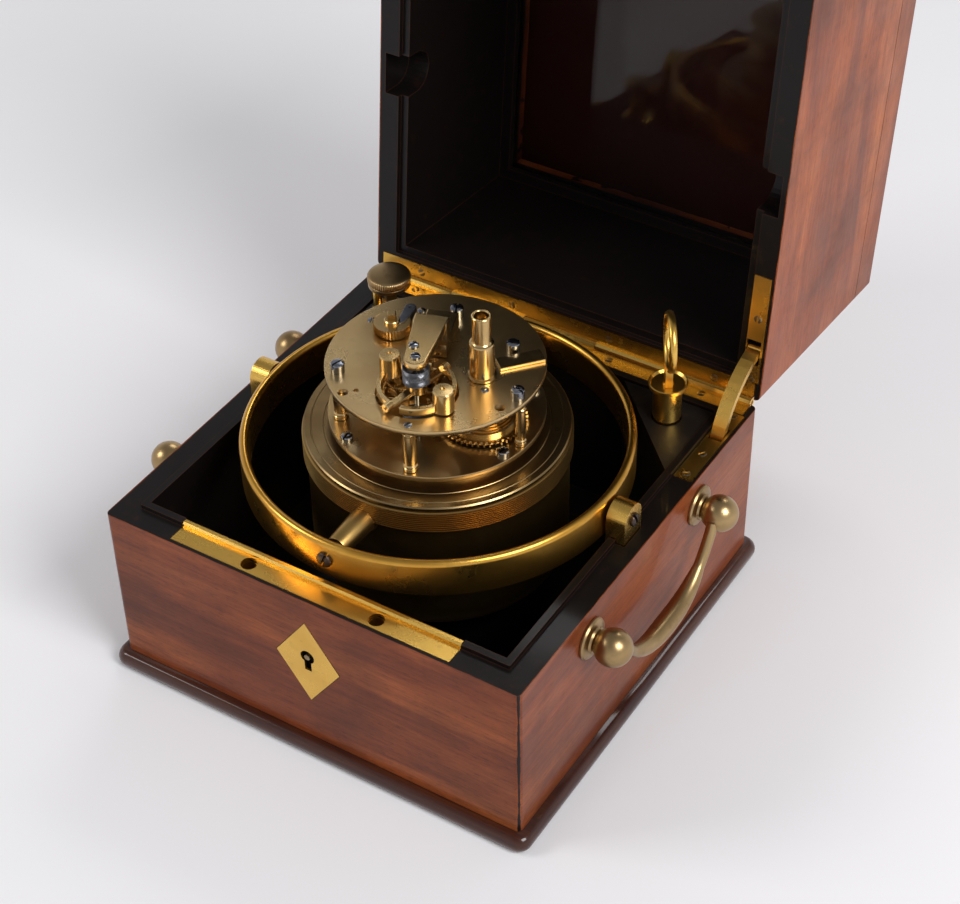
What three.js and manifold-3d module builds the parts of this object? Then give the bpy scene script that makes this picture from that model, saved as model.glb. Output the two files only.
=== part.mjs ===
// A boxed marine chronometer, open, with its movement standing dial-down on the gimballed bowl.
// Millimetres. +X to the right along the front, +Y to the back, +Z up; the origin is the middle of the
// underside of the base board. The middle tier and the top lid are drawn closed and swung open together.
import * as THREE from 'three';
import Module from 'manifold-3d';
import { mergeVertices } from 'three/addons/utils/BufferGeometryUtils.js';

const wasm = await Module();
wasm.setup();

// Driving dimensions
const CASE_WIDTH = 190;
const CASE_CORNER = 2.5;
const BASE_HEIGHT = 8;
const BASE_OVERHANG = 4.6;
const RIM_Z = 83.3;
const WALL = 13;
const LIP_WIDTH = 3;
const LIP_HEIGHT = 2;
const TIER_HEIGHT = 96;
const LID_HEIGHT = 17.5;
const OPEN_ANGLE = THREE.MathUtils.degToRad(95.8);
const FIT = 0.3;

const HINGE_OUT = 1.4;
const KNUCKLE_R = 2.3;
const PIN_R = 0.9;
const LEAF_DEPTH = 8;
const LEAF_THICK = 1.3;
const HINGE_HALF = 92;

const AXIS_Z = 92.3;
const RING_R = 79.2;
const RING_WALL = 3.8;
const RING_HEIGHT = 16.4;
const PIVOT_R = 1.5;
const PIVOT_BORE = 1.62;
const BOWL_R = 52.6;
const THREAD_R = 54;
const BOWL_TOP = 102.6;
const BOWL_BOTTOM = 34;
const BOWL_WALL = 1.6;
const BOWL_FLOOR = 6;

const DIAL_R = 53.4;
const DIAL_THICK = 1.9;
const PLATE_R = 43.2;
const PLATE_THICK = 2.3;
const PILLAR_PLATE_Z = 109;
const TOP_PLATE_Z = 131.7;
const PILLARS = [[12, -37, 3], [40.4, -3.2, 2.3], [-28.6, -25, 3], [-8.2, 28.6, 3]];

const BALANCE_AT = [4.5, -20];
const BALANCE_R = 15.4;
const ARM_ANGLE = -100.5;
const WEIGHT_ANGLE = -15;
const COCK_ANGLE = 109;
const BARREL_AT = [-25, 7.5];
const BARREL_R = 16.4;
const FUSEE_AT = [20.6, 1.2];

const KEY_AT = [66, 70];
const KEY_TURN = 34;
const LOCK_AT = [-70, 70];
const HANDLE_OUT = 10;
const HANDLE_Z = 69;
const HANDLE_HALF = 43.5;

const H = CASE_WIDTH / 2;
const INNER = H - WALL;
const LIP_OUT = INNER + LIP_WIDTH;
const HINGE_Y = H + HINGE_OUT;
const TOP_FACE = TOP_PLATE_Z + PLATE_THICK;
const CLOSED_GAP = 0.4;
const STAY = { x0: 86.2, x1: 92, radius: 40, reach: 24, depth: 3, length: 44, thick: 2.6 };
const STAY_TURN = THREE.MathUtils.degToRad(15.49);
const HOOKS = [-29.4, 29.4];
const HOOK_Y = -88.7;

// Finishes
const MAHOGANY = [0x7a3520, 0.35, 0];
const EBONISED = [0x17120f, 0.45, 0];
const BRASS = [0xb8893f, 0.3, 1];
const BRIGHT_BRASS = [0xc9a050, 0.22, 1];
const STEEL = [0x8b8f94, 0.3, 1];
const DARK_STEEL = [0x3a3230, 0.4, 1];
const GLASS = [0xdfe6e4, 0.05, 0];

const part = new THREE.Group();
const tierGroup = new THREE.Group();
const stayGroup = new THREE.Group();

// Makes a named mesh of a geometry in one finish and hangs it in a group.
function add(name, geometry, [color, roughness, metalness], group = part) {
  const material = new THREE.MeshStandardMaterial({ color, roughness, metalness });
  const mesh = new THREE.Mesh(geometry, material);
  mesh.name = name;
  group.add(mesh);
}

// Booleans
function solid(geometry) {
  const bare = geometry.clone();
  bare.deleteAttribute('normal');
  bare.deleteAttribute('uv');
  const merged = mergeVertices(bare, 1e-4);
  const vertProperties = new Float32Array(merged.attributes.position.array);
  const triVerts = new Uint32Array(merged.index.array);
  return new wasm.Manifold(new wasm.Mesh({ numProp: 3, vertProperties, triVerts }));
}

function fromSolid(manifold) {
  const mesh = manifold.getMesh();
  const geometry = new THREE.BufferGeometry();
  geometry.setAttribute('position', new THREE.BufferAttribute(mesh.vertProperties, 3));
  geometry.setIndex(new THREE.BufferAttribute(mesh.triVerts, 1));
  geometry.computeVertexNormals();
  return geometry;
}

function join(first, ...others) {
  return fromSolid(others.reduce((whole, other) => whole.add(solid(other)), solid(first)));
}

function cut(base, ...tools) {
  return fromSolid(tools.reduce((whole, tool) => whole.subtract(solid(tool)), solid(base)));
}

// Simple solids
function block(x0, x1, y0, y1, z0, z1) {
  const box = new THREE.BoxGeometry(x1 - x0, y1 - y0, z1 - z0);
  return box.translate((x0 + x1) / 2, (y0 + y1) / 2, (z0 + z1) / 2);
}

function rod(radius, z0, z1, [x, y] = [0, 0], sides = 20, topRadius = radius) {
  const cylinder = new THREE.CylinderGeometry(topRadius, radius, z1 - z0, sides);
  return cylinder.rotateX(Math.PI / 2).translate(x, y, (z0 + z1) / 2);
}

function rodX(radius, x0, x1, y, z, sides = 16) {
  return new THREE.CylinderGeometry(radius, radius, x1 - x0, sides)
    .rotateZ(Math.PI / 2).translate((x0 + x1) / 2, y, z);
}

function rodY(radius, y0, y1, x, z, sides = 16, farRadius = radius) {
  return new THREE.CylinderGeometry(farRadius, radius, y1 - y0, sides)
    .translate(x, (y0 + y1) / 2, z);
}

// A body of revolution about +Z from [radius, z] pairs that run up the outside and close themselves.
function turned(profile, sides = 48, [x, y] = [0, 0]) {
  const points = profile.map(([r, z]) => new THREE.Vector2(r, z));
  return new THREE.LatheGeometry(points, sides).rotateX(Math.PI / 2).translate(x, y, 0);
}

function ring(outer, inner, z0, z1, sides = 48, at = [0, 0]) {
  return turned([[inner, z0], [outer, z0], [outer, z1], [inner, z1], [inner, z0]], sides, at);
}

function prism(shape, z0, z1, curveSegments = 4) {
  const options = { depth: z1 - z0, bevelEnabled: false, curveSegments };
  return new THREE.ExtrudeGeometry(shape, options).translate(0, 0, z0);
}

function roundedSquare(half, radius, Kind = THREE.Shape) {
  const outline = new Kind();
  const inner = half - radius;
  outline.absarc(inner, -inner, radius, -Math.PI / 2, 0);
  outline.absarc(inner, inner, radius, 0, Math.PI / 2);
  outline.absarc(-inner, inner, radius, Math.PI / 2, Math.PI);
  outline.absarc(-inner, -inner, radius, Math.PI, Math.PI * 1.5);
  outline.closePath();
  return outline;
}

function squareFrame(outerHalf, innerHalf, z0, z1, corner = CASE_CORNER) {
  const shape = roundedSquare(outerHalf, corner);
  const hole = new THREE.Path();
  hole.moveTo(-innerHalf, -innerHalf);
  hole.lineTo(-innerHalf, innerHalf);
  hole.lineTo(innerHalf, innerHalf);
  hole.lineTo(innerHalf, -innerHalf);
  hole.closePath();
  shape.holes.push(hole);
  return prism(shape, z0, z1);
}

function polygon(points) {
  return new THREE.Shape(points.map(([x, y]) => new THREE.Vector2(x, y)));
}

// A solid swept along X from an outline in the YZ plane.
function profileX(outline, x0, x1) {
  const shape = polygon(outline);
  const options = { depth: x1 - x0, bevelEnabled: false };
  const lying = new THREE.ExtrudeGeometry(shape, options);
  return lying.rotateZ(Math.PI / 2).rotateY(Math.PI / 2).translate(x0, 0, 0);
}

function turnedAbout(geometry, degrees, [x, y]) {
  return geometry.translate(-x, -y, 0).rotateZ(THREE.MathUtils.degToRad(degrees)).translate(x, y, 0);
}

// Lower case
function baseBoard() {
  const steps = 4;
  const slices = [];
  for (let i = 0; i < steps; i++) {
    const low = (i / steps) * BASE_HEIGHT;
    const high = ((i + 1) / steps) * BASE_HEIGHT;
    const swell = Math.sin(Math.PI * (0.18 + (0.64 * (i + 0.5)) / steps));
    slices.push(prism(roundedSquare(H + BASE_OVERHANG * swell, 4), low, high, 2));
  }
  return join(...slices);
}

function lowerCase() {
  const bottom = BASE_HEIGHT + FIT;
  const walls = squareFrame(H, INNER, bottom, RIM_Z);
  const lip = squareFrame(LIP_OUT, INNER, RIM_Z - 1, RIM_Z + LIP_HEIGHT, 0.5);
  const floor = block(-INNER - 1, INNER + 1, -INNER - 1, INNER + 1, bottom, BASE_HEIGHT + 6);
  const strikeBed = block(-64.3, 64.3, -H + 1.7, -INNER + 1, RIM_Z - 1.5, RIM_Z + 5);
  const lockBed = block(-36.3, 36.3, -92.2, -85.2, 53.7, RIM_Z);
  const keyhole = join(rodY(3.5, -H - 1, -92, 0, 53.4), block(-1.9, 1.9, -H - 1, -92, 45.8, 54));
  const escutcheonBed = lozenge(15, 21.3, -H - 1, -H + 1.2, 50.6);
  const leafBed = block(-HINGE_HALF - FIT, HINGE_HALF + FIT, H - LEAF_DEPTH, H + 1, RIM_Z - LEAF_THICK - FIT,
    RIM_Z + 1);
  const cove = rodX(KNUCKLE_R + 0.4, -HINGE_HALF - FIT, HINGE_HALF + FIT, HINGE_Y, RIM_Z);
  const stayBed = block(85, 93.6, 39.4, H - LEAF_DEPTH, RIM_Z - 1.6, RIM_Z + 5);
  const stayWell = block(STAY.x0 - FIT, STAY.x1 + FIT, 66, 92.6, RIM_Z - 42, RIM_Z - 1);
  const lugBeds = [-1, 1].map((side) => mirrorX(block(79, 89.1, -7, 7, RIM_Z - 2, RIM_Z + 5), side));
  return cut(join(walls, lip, floor), strikeBed, lockBed, keyhole, escutcheonBed, leafBed, cove, stayBed,
    stayWell, ...lugBeds);
}

function mirrorX(geometry, side) {
  return side > 0 ? geometry : geometry.rotateZ(Math.PI);
}

function lozenge(halfWidth, halfHeight, y0, y1, z) {
  const shape = polygon([[halfWidth, 0], [0, halfHeight], [-halfWidth, 0], [0, -halfHeight]]);
  const flat = new THREE.ExtrudeGeometry(shape, { depth: y1 - y0, bevelEnabled: false });
  return flat.rotateX(Math.PI / 2).translate(0, y1, z);
}

function escutcheon() {
  const plate = lozenge(14.7, 21, -H - 0.1, -H + 0.9, 50.6);
  return cut(plate, rodY(3.2, -H - 2, -H + 2, 0, 53.4), block(-1.6, 1.6, -H - 2, -H + 2, 46.2, 54));
}

// The strike plate is flat, with a ridge along its inner edge and a hole for each hook of the tier.
function strikePlate() {
  const section = [[-93, RIM_Z - 1.2], [-INNER, RIM_Z - 1.2], [-INNER, RIM_Z + 1.4],
    [-INNER - 0.8, RIM_Z + LIP_HEIGHT], [-INNER - 2.2, RIM_Z + LIP_HEIGHT], [-LIP_OUT, RIM_Z + 1.2],
    [-LIP_OUT, RIM_Z], [-93, RIM_Z]];
  const plate = profileX(section, -64, 64);
  const holes = HOOKS.map((x) => rod(3.3, RIM_Z - 4, RIM_Z + 4, [x, HOOK_Y]));
  return cut(plate, ...holes);
}

function lockCase() {
  const body = block(-36, 36, -91.9, -85.5, 54, RIM_Z - 1.8);
  const channel = block(-34.5, 34.5, -90.6, -86.8, 61.7, 75);
  const mouths = HOOKS.map((x) => rod(2.95, 67.5, RIM_Z + 1, [x, HOOK_Y]));
  return cut(body, channel, ...mouths);
}

function lockBolt() {
  const bar = block(-34, 31.2, -90.3, -87.1, 62, 74.7);
  const gates = HOOKS.map((x) => block(x - 3.2, x + 3.4, -92, -85, 67.7, 76));
  const undercuts = HOOKS.map((x) => block(x - 3.9, x, -92, -85, 67.7, 71.4));
  return cut(bar, ...gates, ...undercuts);
}

// Hinges: leaves let into both rims, with alternate knuckles round one pin.
const KNUCKLE_BREAKS = [-HINGE_HALF, -55, -18, 18, 55, HINGE_HALF];

function knuckles(y, z, which, radius = KNUCKLE_R, inset = 0.2) {
  const rods = [];
  for (let i = which; i < KNUCKLE_BREAKS.length - 1; i += 2) {
    rods.push(rodX(radius, KNUCKLE_BREAKS[i] + inset, KNUCKLE_BREAKS[i + 1] - inset, y, z, 10));
  }
  return rods;
}

// direction is -1 for the leaf below the joint line and 1 for the leaf above it.
function hingeLeaf(y, z, direction, which) {
  const near = direction < 0 ? z : z + CLOSED_GAP;
  const far = near + direction * LEAF_THICK;
  const leaf = block(-HINGE_HALF, HINGE_HALF, H - LEAF_DEPTH + FIT, y - 1.2, Math.min(near, far),
    Math.max(near, far));
  const clear = knuckles(y, z, 1 - which, KNUCKLE_R + FIT, -0.2);
  const bore = rodX(PIN_R + 0.25, -HINGE_HALF - 1, HINGE_HALF + 1, y, z, 8);
  return cut(join(leaf, ...knuckles(y, z, which)), ...clear, bore);
}

function hingePin(y, z) {
  return rodX(PIN_R, -HINGE_HALF + 0.5, HINGE_HALF - 0.5, y, z, 8);
}

// Stay: a curved arm pivoted in the tier that slides through a slotted plate on the right wall.
function staySlotPlate() {
  const plate = block(85.3, 93.3, 39.7, H - LEAF_DEPTH - FIT, RIM_Z - 1.3, RIM_Z);
  return cut(plate, block(STAY.x0 - FIT, STAY.x1 + FIT, 67.4, 76, RIM_Z - 3, RIM_Z + 3));
}

function tierStayPlate() {
  const z0 = RIM_Z + CLOSED_GAP;
  const plate = block(85.7, 93.3, 37, H - LEAF_DEPTH - FIT, z0, z0 + 1.3);
  return cut(plate, block(STAY.x0 - FIT, STAY.x1 + FIT, 67, 78.5, z0 - 3, z0 + 3));
}

function stayArm() {
  const steps = 12;
  const outer = [];
  const inner = [];
  for (let i = 0; i <= steps; i++) {
    const turn = ((STAY.length / STAY.radius) * i) / steps;
    const point = (r) => [STAY.radius - r * Math.cos(turn), -r * Math.sin(turn)];
    outer.push(point(STAY.radius + STAY.thick / 2));
    inner.unshift(point(STAY.radius - STAY.thick / 2));
  }
  const band = profileX([...outer, ...inner].reverse(), STAY.x0, STAY.x1);
  return join(band, rodX(1.9, STAY.x0, STAY.x1, 0, 0, 12));
}

// Gimbal lugs stand on the side walls and carry the ring's pivot screws.
function gimbalLug(side) {
  const outline = new THREE.Shape();
  outline.moveTo(6.6, RIM_Z - 1.7 - AXIS_Z);
  outline.lineTo(6.6, 0);
  outline.absarc(0, 0, 6.6, 0, Math.PI);
  outline.lineTo(-6.6, RIM_Z - 1.7 - AXIS_Z);
  outline.closePath();
  const arch = new THREE.ExtrudeGeometry(outline, { depth: 8.3, bevelEnabled: false, curveSegments: 12 });
  arch.rotateX(Math.PI / 2).rotateZ(Math.PI / 2).translate(80.4, 0, AXIS_Z);
  return mirrorX(cut(arch, rodX(PIVOT_BORE, 70, 100, 0, AXIS_Z)), side);
}

function gimbalScrew(side) {
  const screw = join(rodX(PIVOT_R, 76.2, 89.4, 0, AXIS_Z, 16), rodX(2.8, 89.1, 90.2, 0, AXIS_Z));
  return mirrorX(screw, side);
}

// Corner blocks for the winding key and the gimbal lock.
function cornerBlock(side, size, top) {
  const e = INNER - FIT;
  const corner = [[e, e - size], [e, e], [e - size, e]];
  const points = side > 0 ? corner : corner.map(([x, y]) => [-x, y]).reverse();
  return prism(polygon(points), BASE_HEIGHT + 6 + FIT, top);
}

function keyBlock() {
  return cut(cornerBlock(1, 42, 84), rod(6.3, 56, 90, KEY_AT, 32));
}

function windingKey() {
  const [x, y] = KEY_AT;
  const body = turned([[0, 66], [4, 66], [4, 71], [5.8, 72], [5.8, 100.4], [8.1, 100.4], [8.1, 102.2], [7.4,
    102.2], [7.2, 101.4], [2.2, 101.4], [0, 101.4]], 20, KEY_AT);
  const stem = block(-1.3, 1.3, -2.8, 2.8, 101, 112).rotateZ(THREE.MathUtils.degToRad(KEY_TURN))
    .translate(x, y, 0);
  const bow = ringStanding(12.8, 10.3, 3.4, 24, [x, y], 122.5, KEY_TURN);
  return cut(join(body, stem, bow), rod(2.2, 60, 80, KEY_AT, 4));
}

// A flat ring standing upright, with its axis level.
function ringStanding(outer, inner, width, sides, [x, y], z, degrees) {
  const flat = ring(outer, inner, -width / 2, width / 2, sides);
  return flat.rotateY(Math.PI / 2).rotateZ(THREE.MathUtils.degToRad(degrees)).translate(x, y, z);
}

function gimbalLockBlock() {
  return cut(cornerBlock(-1, 34, 84), rod(2.6, 70, 90, LOCK_AT));
}

// The lock's base, and the guide post beside its screw.
function gimbalLockBase() {
  const [x, y] = LOCK_AT;
  const foot = rod(8.2, 84.3, 88, LOCK_AT, 32);
  const post = rod(2, 87, 99.6, [x - 5, y - 2.2], 16);
  return cut(join(foot, post), rod(2.6, 80, 90, LOCK_AT));
}

function gimbalLockKnob() {
  const profile = [[0, 72], [2.2, 72], [2.2, 88.4], [3, 88.4], [3, 100], [8.7, 100], [8.7, 101.3], [9.4,
    101.7], [9.4, 105], [8.6, 105.8], [5, 106.3], [0, 106.4]];
  return turned(profile, 24, LOCK_AT);
}

// Drop handles
function handleMount(side, y) {
  const x = H;
  const rose = rodX(8.6, x + FIT, x + 2.3, y, HANDLE_Z);
  const neck = rodX(3.6, x + 1.5, x + HANDLE_OUT - 4, y, HANDLE_Z, 12);
  const ball = new THREE.SphereGeometry(7.8, 12, 8).translate(x + HANDLE_OUT, y, HANDLE_Z);
  const toMiddle = y < 0 ? [y, y + 12] : [y - 12, y];
  const eye = rodY(2.7, toMiddle[0], toMiddle[1], x + HANDLE_OUT, HANDLE_Z, 8);
  return mirrorX(cut(join(rose, neck, ball), eye), side);
}

function handleBail(side) {
  const end = HANDLE_HALF - 1;
  const curve = new THREE.CatmullRomCurve3([[-end, 0], [-end + 7, 0], [-30, -8], [-20, -20], [-8, -26.5],
    [8, -26.5], [20, -20], [30, -8], [end - 7, 0], [end, 0]].map(([y, z]) => new THREE.Vector3(0, y, z)));
  const section = new THREE.Shape();
  section.absarc(0, 0, 2, 0, Math.PI * 2);
  const bar = new THREE.ExtrudeGeometry(section, { steps: 18, extrudePath: curve, curveSegments: 3 });
  const swell = new THREE.SphereGeometry(4.4, 10, 8).scale(1, 4.2, 1).translate(0, 0, -25.6);
  return mirrorX(join(bar, swell).translate(H + HANDLE_OUT, 0, HANDLE_Z), side);
}

// Middle tier, drawn closed
function tierFrame() {
  const z0 = RIM_Z + CLOSED_GAP;
  const z1 = RIM_Z + TIER_HEIGHT;
  const walls = squareFrame(H, INNER, z0, z1);
  const ledge = squareFrame(INNER + 1, INNER - 5, RIM_Z + 82.5, RIM_Z + 85.5, 0.5);
  const rebate = squareFrame(LIP_OUT + 0.5, INNER - 1, z0 - 1, RIM_Z + LIP_HEIGHT + 0.7, 0.5);
  const leafBed = block(-HINGE_HALF - FIT, HINGE_HALF + FIT, H - LEAF_DEPTH, H + 1, z0 - 1, z0 + LEAF_THICK +
    FIT);
  const cove = rodX(KNUCKLE_R + 0.4, -HINGE_HALF - FIT, HINGE_HALF + FIT, HINGE_Y, RIM_Z);
  const stayBed = block(85.4, 93.6, 36.7, H - LEAF_DEPTH, z0 - 1, z0 + 1.6);
  const stayWell = block(STAY.x0 - FIT, STAY.x1 + FIT, 67, 78.5, z0, z0 + 7);
  const lockBed = block(-50.3, 50.3, -93.2, -85.4, z0 - 1, z0 + 1.6);
  const lugBeds = [-1, 1].map((side) => mirrorX(lugBed(), side));
  const lidLeafBed = block(-HINGE_HALF - FIT, HINGE_HALF + FIT, H - LEAF_DEPTH, H + 1, z1 - LEAF_THICK - FIT,
    z1 + 1);
  const lidCove = rodX(KNUCKLE_R + 0.4, -HINGE_HALF - FIT, HINGE_HALF + FIT, HINGE_Y, z1);
  return cut(join(walls, ledge), rebate, leafBed, cove, stayBed, stayWell, lockBed, ...lugBeds, lidLeafBed,
    lidCove);
}

// The arched pocket that a gimbal lug stands in when the tier is closed.
function lugBed() {
  const pocket = rodX(9.2, 79, 92.2, 0, AXIS_Z, 28);
  return join(pocket, block(79, 92.2, -9.2, 9.2, RIM_Z - 2, AXIS_Z));
}

function tierLockPlate() {
  const z0 = RIM_Z + CLOSED_GAP;
  const plate = block(-50, 50, -92.9, -85.7, z0, z0 + 1.3);
  const hooks = HOOKS.map((x) => {
    const stud = rod(2.1, 68.3, z0 + 0.5, [x, HOOK_Y], 16);
    return cut(stud, block(x - 4, x + 0.1, -92, -85, 71.1, 75.1));
  });
  return join(plate, ...hooks);
}

function tierGlass() {
  return block(-INNER + FIT, INNER - FIT, -INNER + FIT, INNER - FIT, RIM_Z + 85.8, RIM_Z + 88.6);
}

function glassBead() {
  return squareFrame(INNER - FIT, INNER - 4, RIM_Z + 88.9, RIM_Z + 92.6, 0.5);
}

// Top lid, drawn closed on the tier
function topLid() {
  const z0 = RIM_Z + TIER_HEIGHT + CLOSED_GAP;
  const z1 = RIM_Z + TIER_HEIGHT + LID_HEIGHT;
  const board = prism(roundedSquare(H, CASE_CORNER), z0, z1 - 1.2);
  const crown = prism(roundedSquare(H - 1.2, CASE_CORNER), z1 - 2, z1);
  const recess = block(-INNER, INNER, -INNER, INNER, z0 - 1, z0 + 7);
  const leafBed = block(-HINGE_HALF - FIT, HINGE_HALF + FIT, H - LEAF_DEPTH, H + 1, z0 - 1, z0 + LEAF_THICK +
    FIT);
  const cove = rodX(KNUCKLE_R + 0.4, -HINGE_HALF - FIT, HINGE_HALF + FIT, HINGE_Y, RIM_Z + TIER_HEIGHT);
  return cut(join(board, crown), recess, leafBed, cove);
}

// Gimbal ring and bowl
function gimbalRing() {
  const z0 = AXIS_Z - RING_HEIGHT / 2;
  const z1 = AXIS_Z + RING_HEIGHT / 2;
  const inner = RING_R - RING_WALL;
  const profile = [[inner, z0], [RING_R - 0.5, z0], [RING_R, z0 + 0.5], [RING_R, z1 - 1.5],
    [RING_R - 1.5, z1], [inner + 0.8, z1], [inner, z1 - 0.8], [inner, z0]];
  const bores = [rodX(PIVOT_BORE, -90, 90, 0, AXIS_Z), rodY(PIVOT_BORE, -90, 90, 0, AXIS_Z)];
  return cut(turned(profile, 48), ...bores);
}

function bowlPivotScrew(side) {
  const shank = rodY(PIVOT_R, -RING_R - 0.6, -62.5, 0, AXIS_Z, 16);
  const head = rodY(3.3, -RING_R - 1.6, -RING_R - 0.2, 0, AXIS_Z);
  const screw = join(shank, head);
  return side < 0 ? screw : screw.rotateZ(Math.PI);
}

function bowl() {
  const r = BOWL_R;
  const inner = BOWL_R - BOWL_WALL;
  const corner = 16;
  const outside = arcPoints(r - corner, BOWL_BOTTOM + corner, corner, -90, 0, 4);
  const inside = arcPoints(inner - 10, BOWL_BOTTOM + BOWL_FLOOR + 10, 10, 0, -90, 3);
  const profile = [[0, BOWL_BOTTOM], ...outside, [r, 92.6], [THREAD_R, 93], [THREAD_R, BOWL_TOP],
    [inner, BOWL_TOP], ...inside, [0, BOWL_BOTTOM + BOWL_FLOOR]];
  const bosses = [0, Math.PI].map((turn) => rodY(4.2, -72, -51.5, 0, AXIS_Z, 16, 5.8).rotateZ(turn));
  const hollow = turned([[0, BOWL_BOTTOM + 20], [inner - 0.01, BOWL_BOTTOM + 20],
    [inner - 0.01, BOWL_TOP + 1], [0, BOWL_TOP + 1]], 40);
  const bores = rodY(PIVOT_BORE, -90, 90, 0, AXIS_Z);
  return cut(join(turned(profile, 40), ...bosses), hollow, bores);
}

function arcPoints(cx, cy, radius, from, to, steps) {
  const points = [];
  for (let i = 0; i <= steps; i++) {
    const a = THREE.MathUtils.degToRad(from + ((to - from) * i) / steps);
    points.push([cx + radius * Math.cos(a), cy + radius * Math.sin(a)]);
  }
  return points;
}

// Movement
function dialPlate() {
  const z0 = BOWL_TOP + FIT;
  const z1 = z0 + DIAL_THICK;
  const seat = PILLAR_PLATE_Z - FIT;
  const profile = [[0, z0], [DIAL_R, z0], [DIAL_R, z1 - 0.5], [DIAL_R - 0.5, z1], [39, z1], [39, seat],
    [0, seat]];
  const bores = [[0, 0], FOURTH_AT].map((at) => rod(1.9, 90, 120, at, 16));
  return cut(turned(profile, 56), ...bores);
}

function plateDisc(z, holes) {
  const disc = rod(PLATE_R, z, z + PLATE_THICK, [0, 0], 48);
  return cut(disc, ...holes);
}

function pillarPlate() {
  const arbors = [[[0, 0], 1.9], [FOURTH_AT, 1.3], [BARREL_AT, 1.6], [FUSEE_AT, 1.6], [THIRD_AT, 0.8],
    [ESCAPE_AT, 0.8], [BALANCE_AT, 0.8]];
  return plateDisc(PILLAR_PLATE_Z, arbors.map(([at, r]) => rod(r, 100, 120, at, 8)));
}

function topPlate() {
  const opening = rod(15.9, 120, 150, BALANCE_AT, 32);
  const arbors = [[[0, 0], 0.9], [FOURTH_AT, 0.8], [BARREL_AT, 1.6], [FUSEE_AT, 2.6], [THIRD_AT, 0.8],
    [ESCAPE_AT, 0.8]];
  const sockets = [[-19.7, -34.6], [36.6, -11.7]].map((at) => rod(1.8, 120, 150, at, 16));
  return plateDisc(TOP_PLATE_Z, [opening, ...sockets, ...arbors.map(([at, r]) => rod(r, 120, 150, at, 8))]);
}

function pillar([x, y, radius]) {
  const z0 = PILLAR_PLATE_Z + PLATE_THICK + FIT;
  const z1 = TOP_PLATE_Z - FIT;
  const waist = radius - 0.4;
  const profile = [[0, z0], [radius, z0], [radius, z0 + 1.6], [waist, z0 + 2], [waist, z1 - 2], [radius,
    z1 - 1.6], [radius, z1], [0, z1]];
  return turned(profile, 14, [x, y]);
}

// The cock reaches from a long foot on the plate, over the balance, to its upper pivot.
function balanceCock() {
  const [x, y] = BALANCE_AT;
  const z = TOP_FACE + FIT;
  const foot = block(22, 43, -6.3, 6.3, z, 141);
  const riser = block(22, 27, -6.8, 6.8, 140, 151);
  const arm = new THREE.Shape();
  arm.moveTo(27, 6.8);
  arm.absarc(0, 0, 4.6, Math.PI / 2, Math.PI * 1.5);
  arm.lineTo(27, -6.8);
  arm.closePath();
  const top = prism(arm, 147.6, 151, 10);
  const cock = cut(join(foot, riser, top), rod(0.9, 140, 160, [0, 0], 12));
  return cock.rotateZ(THREE.MathUtils.degToRad(COCK_ANGLE)).translate(x, y, 0);
}

function windingPipe() {
  const z = TOP_FACE + FIT;
  return turned([[2.8, z], [5.6, z], [5.6, z + 1.2], [4.9, z + 1.6], [4.9, 150], [3.8, 151.5],
    [3.8, 163], [2.9, 163], [2.9, 152], [2.8, 150], [2.8, z]], 20, FUSEE_AT);
}

function setupRatchet() {
  const z = TOP_FACE + FIT;
  const wheel = prism(sawTeeth(24, 7.6, 6.9), z, z + 4).translate(...BARREL_AT, 0);
  const hub = rod(3, z, z + 5.6, BARREL_AT, 24);
  return cut(join(wheel, hub), rod(1.5, 120, 150, BARREL_AT, 12));
}

function sawTeeth(count, outer, inner) {
  const points = [];
  for (let i = 0; i < count; i++) {
    const start = (i / count) * Math.PI * 2;
    const stop = ((i + 0.96) / count) * Math.PI * 2;
    points.push([inner * Math.cos(start), inner * Math.sin(start)]);
    points.push([outer * Math.cos(stop), outer * Math.sin(stop)]);
  }
  return polygon(points);
}

function balanceSpring() {
  return ring(5.4, 4.6, 139.2, 146.8, 20, BALANCE_AT);
}

// The balance: a cut rim on two arms, with a timing nut at each arm and a weight on each half.
function balanceWheel() {
  const z0 = TOP_FACE + 0.5;
  const rim = ring(BALANCE_R, BALANCE_R - 2, z0, z0 + 3.6, 36);
  const half = [0, 180].flatMap((turn) => [
    turnedAbout(rodX(1.9, BALANCE_R - 1.4, BALANCE_R + 2, 0, z0 + 1.9, 8), ARM_ANGLE + turn, [0, 0]),
    turnedAbout(rod(4.15, z0, z0 + 9.6, [BALANCE_R - 0.2, 0], 14), WEIGHT_ANGLE + turn, [0, 0])]);
  const arm = turnedAbout(block(-14.4, 14.4, -1.6, 1.6, z0 + 0.6, z0 + 2.4), ARM_ANGLE, [0, 0]);
  const hub = rod(3.2, z0 + 0.2, z0 + 4, [0, 0], 24);
  const slot = () => block(12, 17, -1, 1, z0 - 1, z0 + 5);
  const gaps = [0, 180].map((turn) => turnedAbout(slot(), ARM_ANGLE - 14 + turn, [0, 0]));
  const wheel = cut(join(rim, arm, hub), ...gaps);
  return cut(join(wheel, ...half), rod(1.3, 120, 160, [0, 0], 16)).translate(...BALANCE_AT, 0);
}

function balanceStaff() {
  const rollerZ = 122.2;
  return turned([[0, 110], [0.5, 110], [0.5, 112.4], [1, 113], [1, rollerZ], [6, rollerZ],
    [6, rollerZ + 1.2], [1, rollerZ + 1.2], [1, 147], [0.5, 147.4], [0.5, 149.6],
    [0, 149.6]], 10, BALANCE_AT);
}

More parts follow.
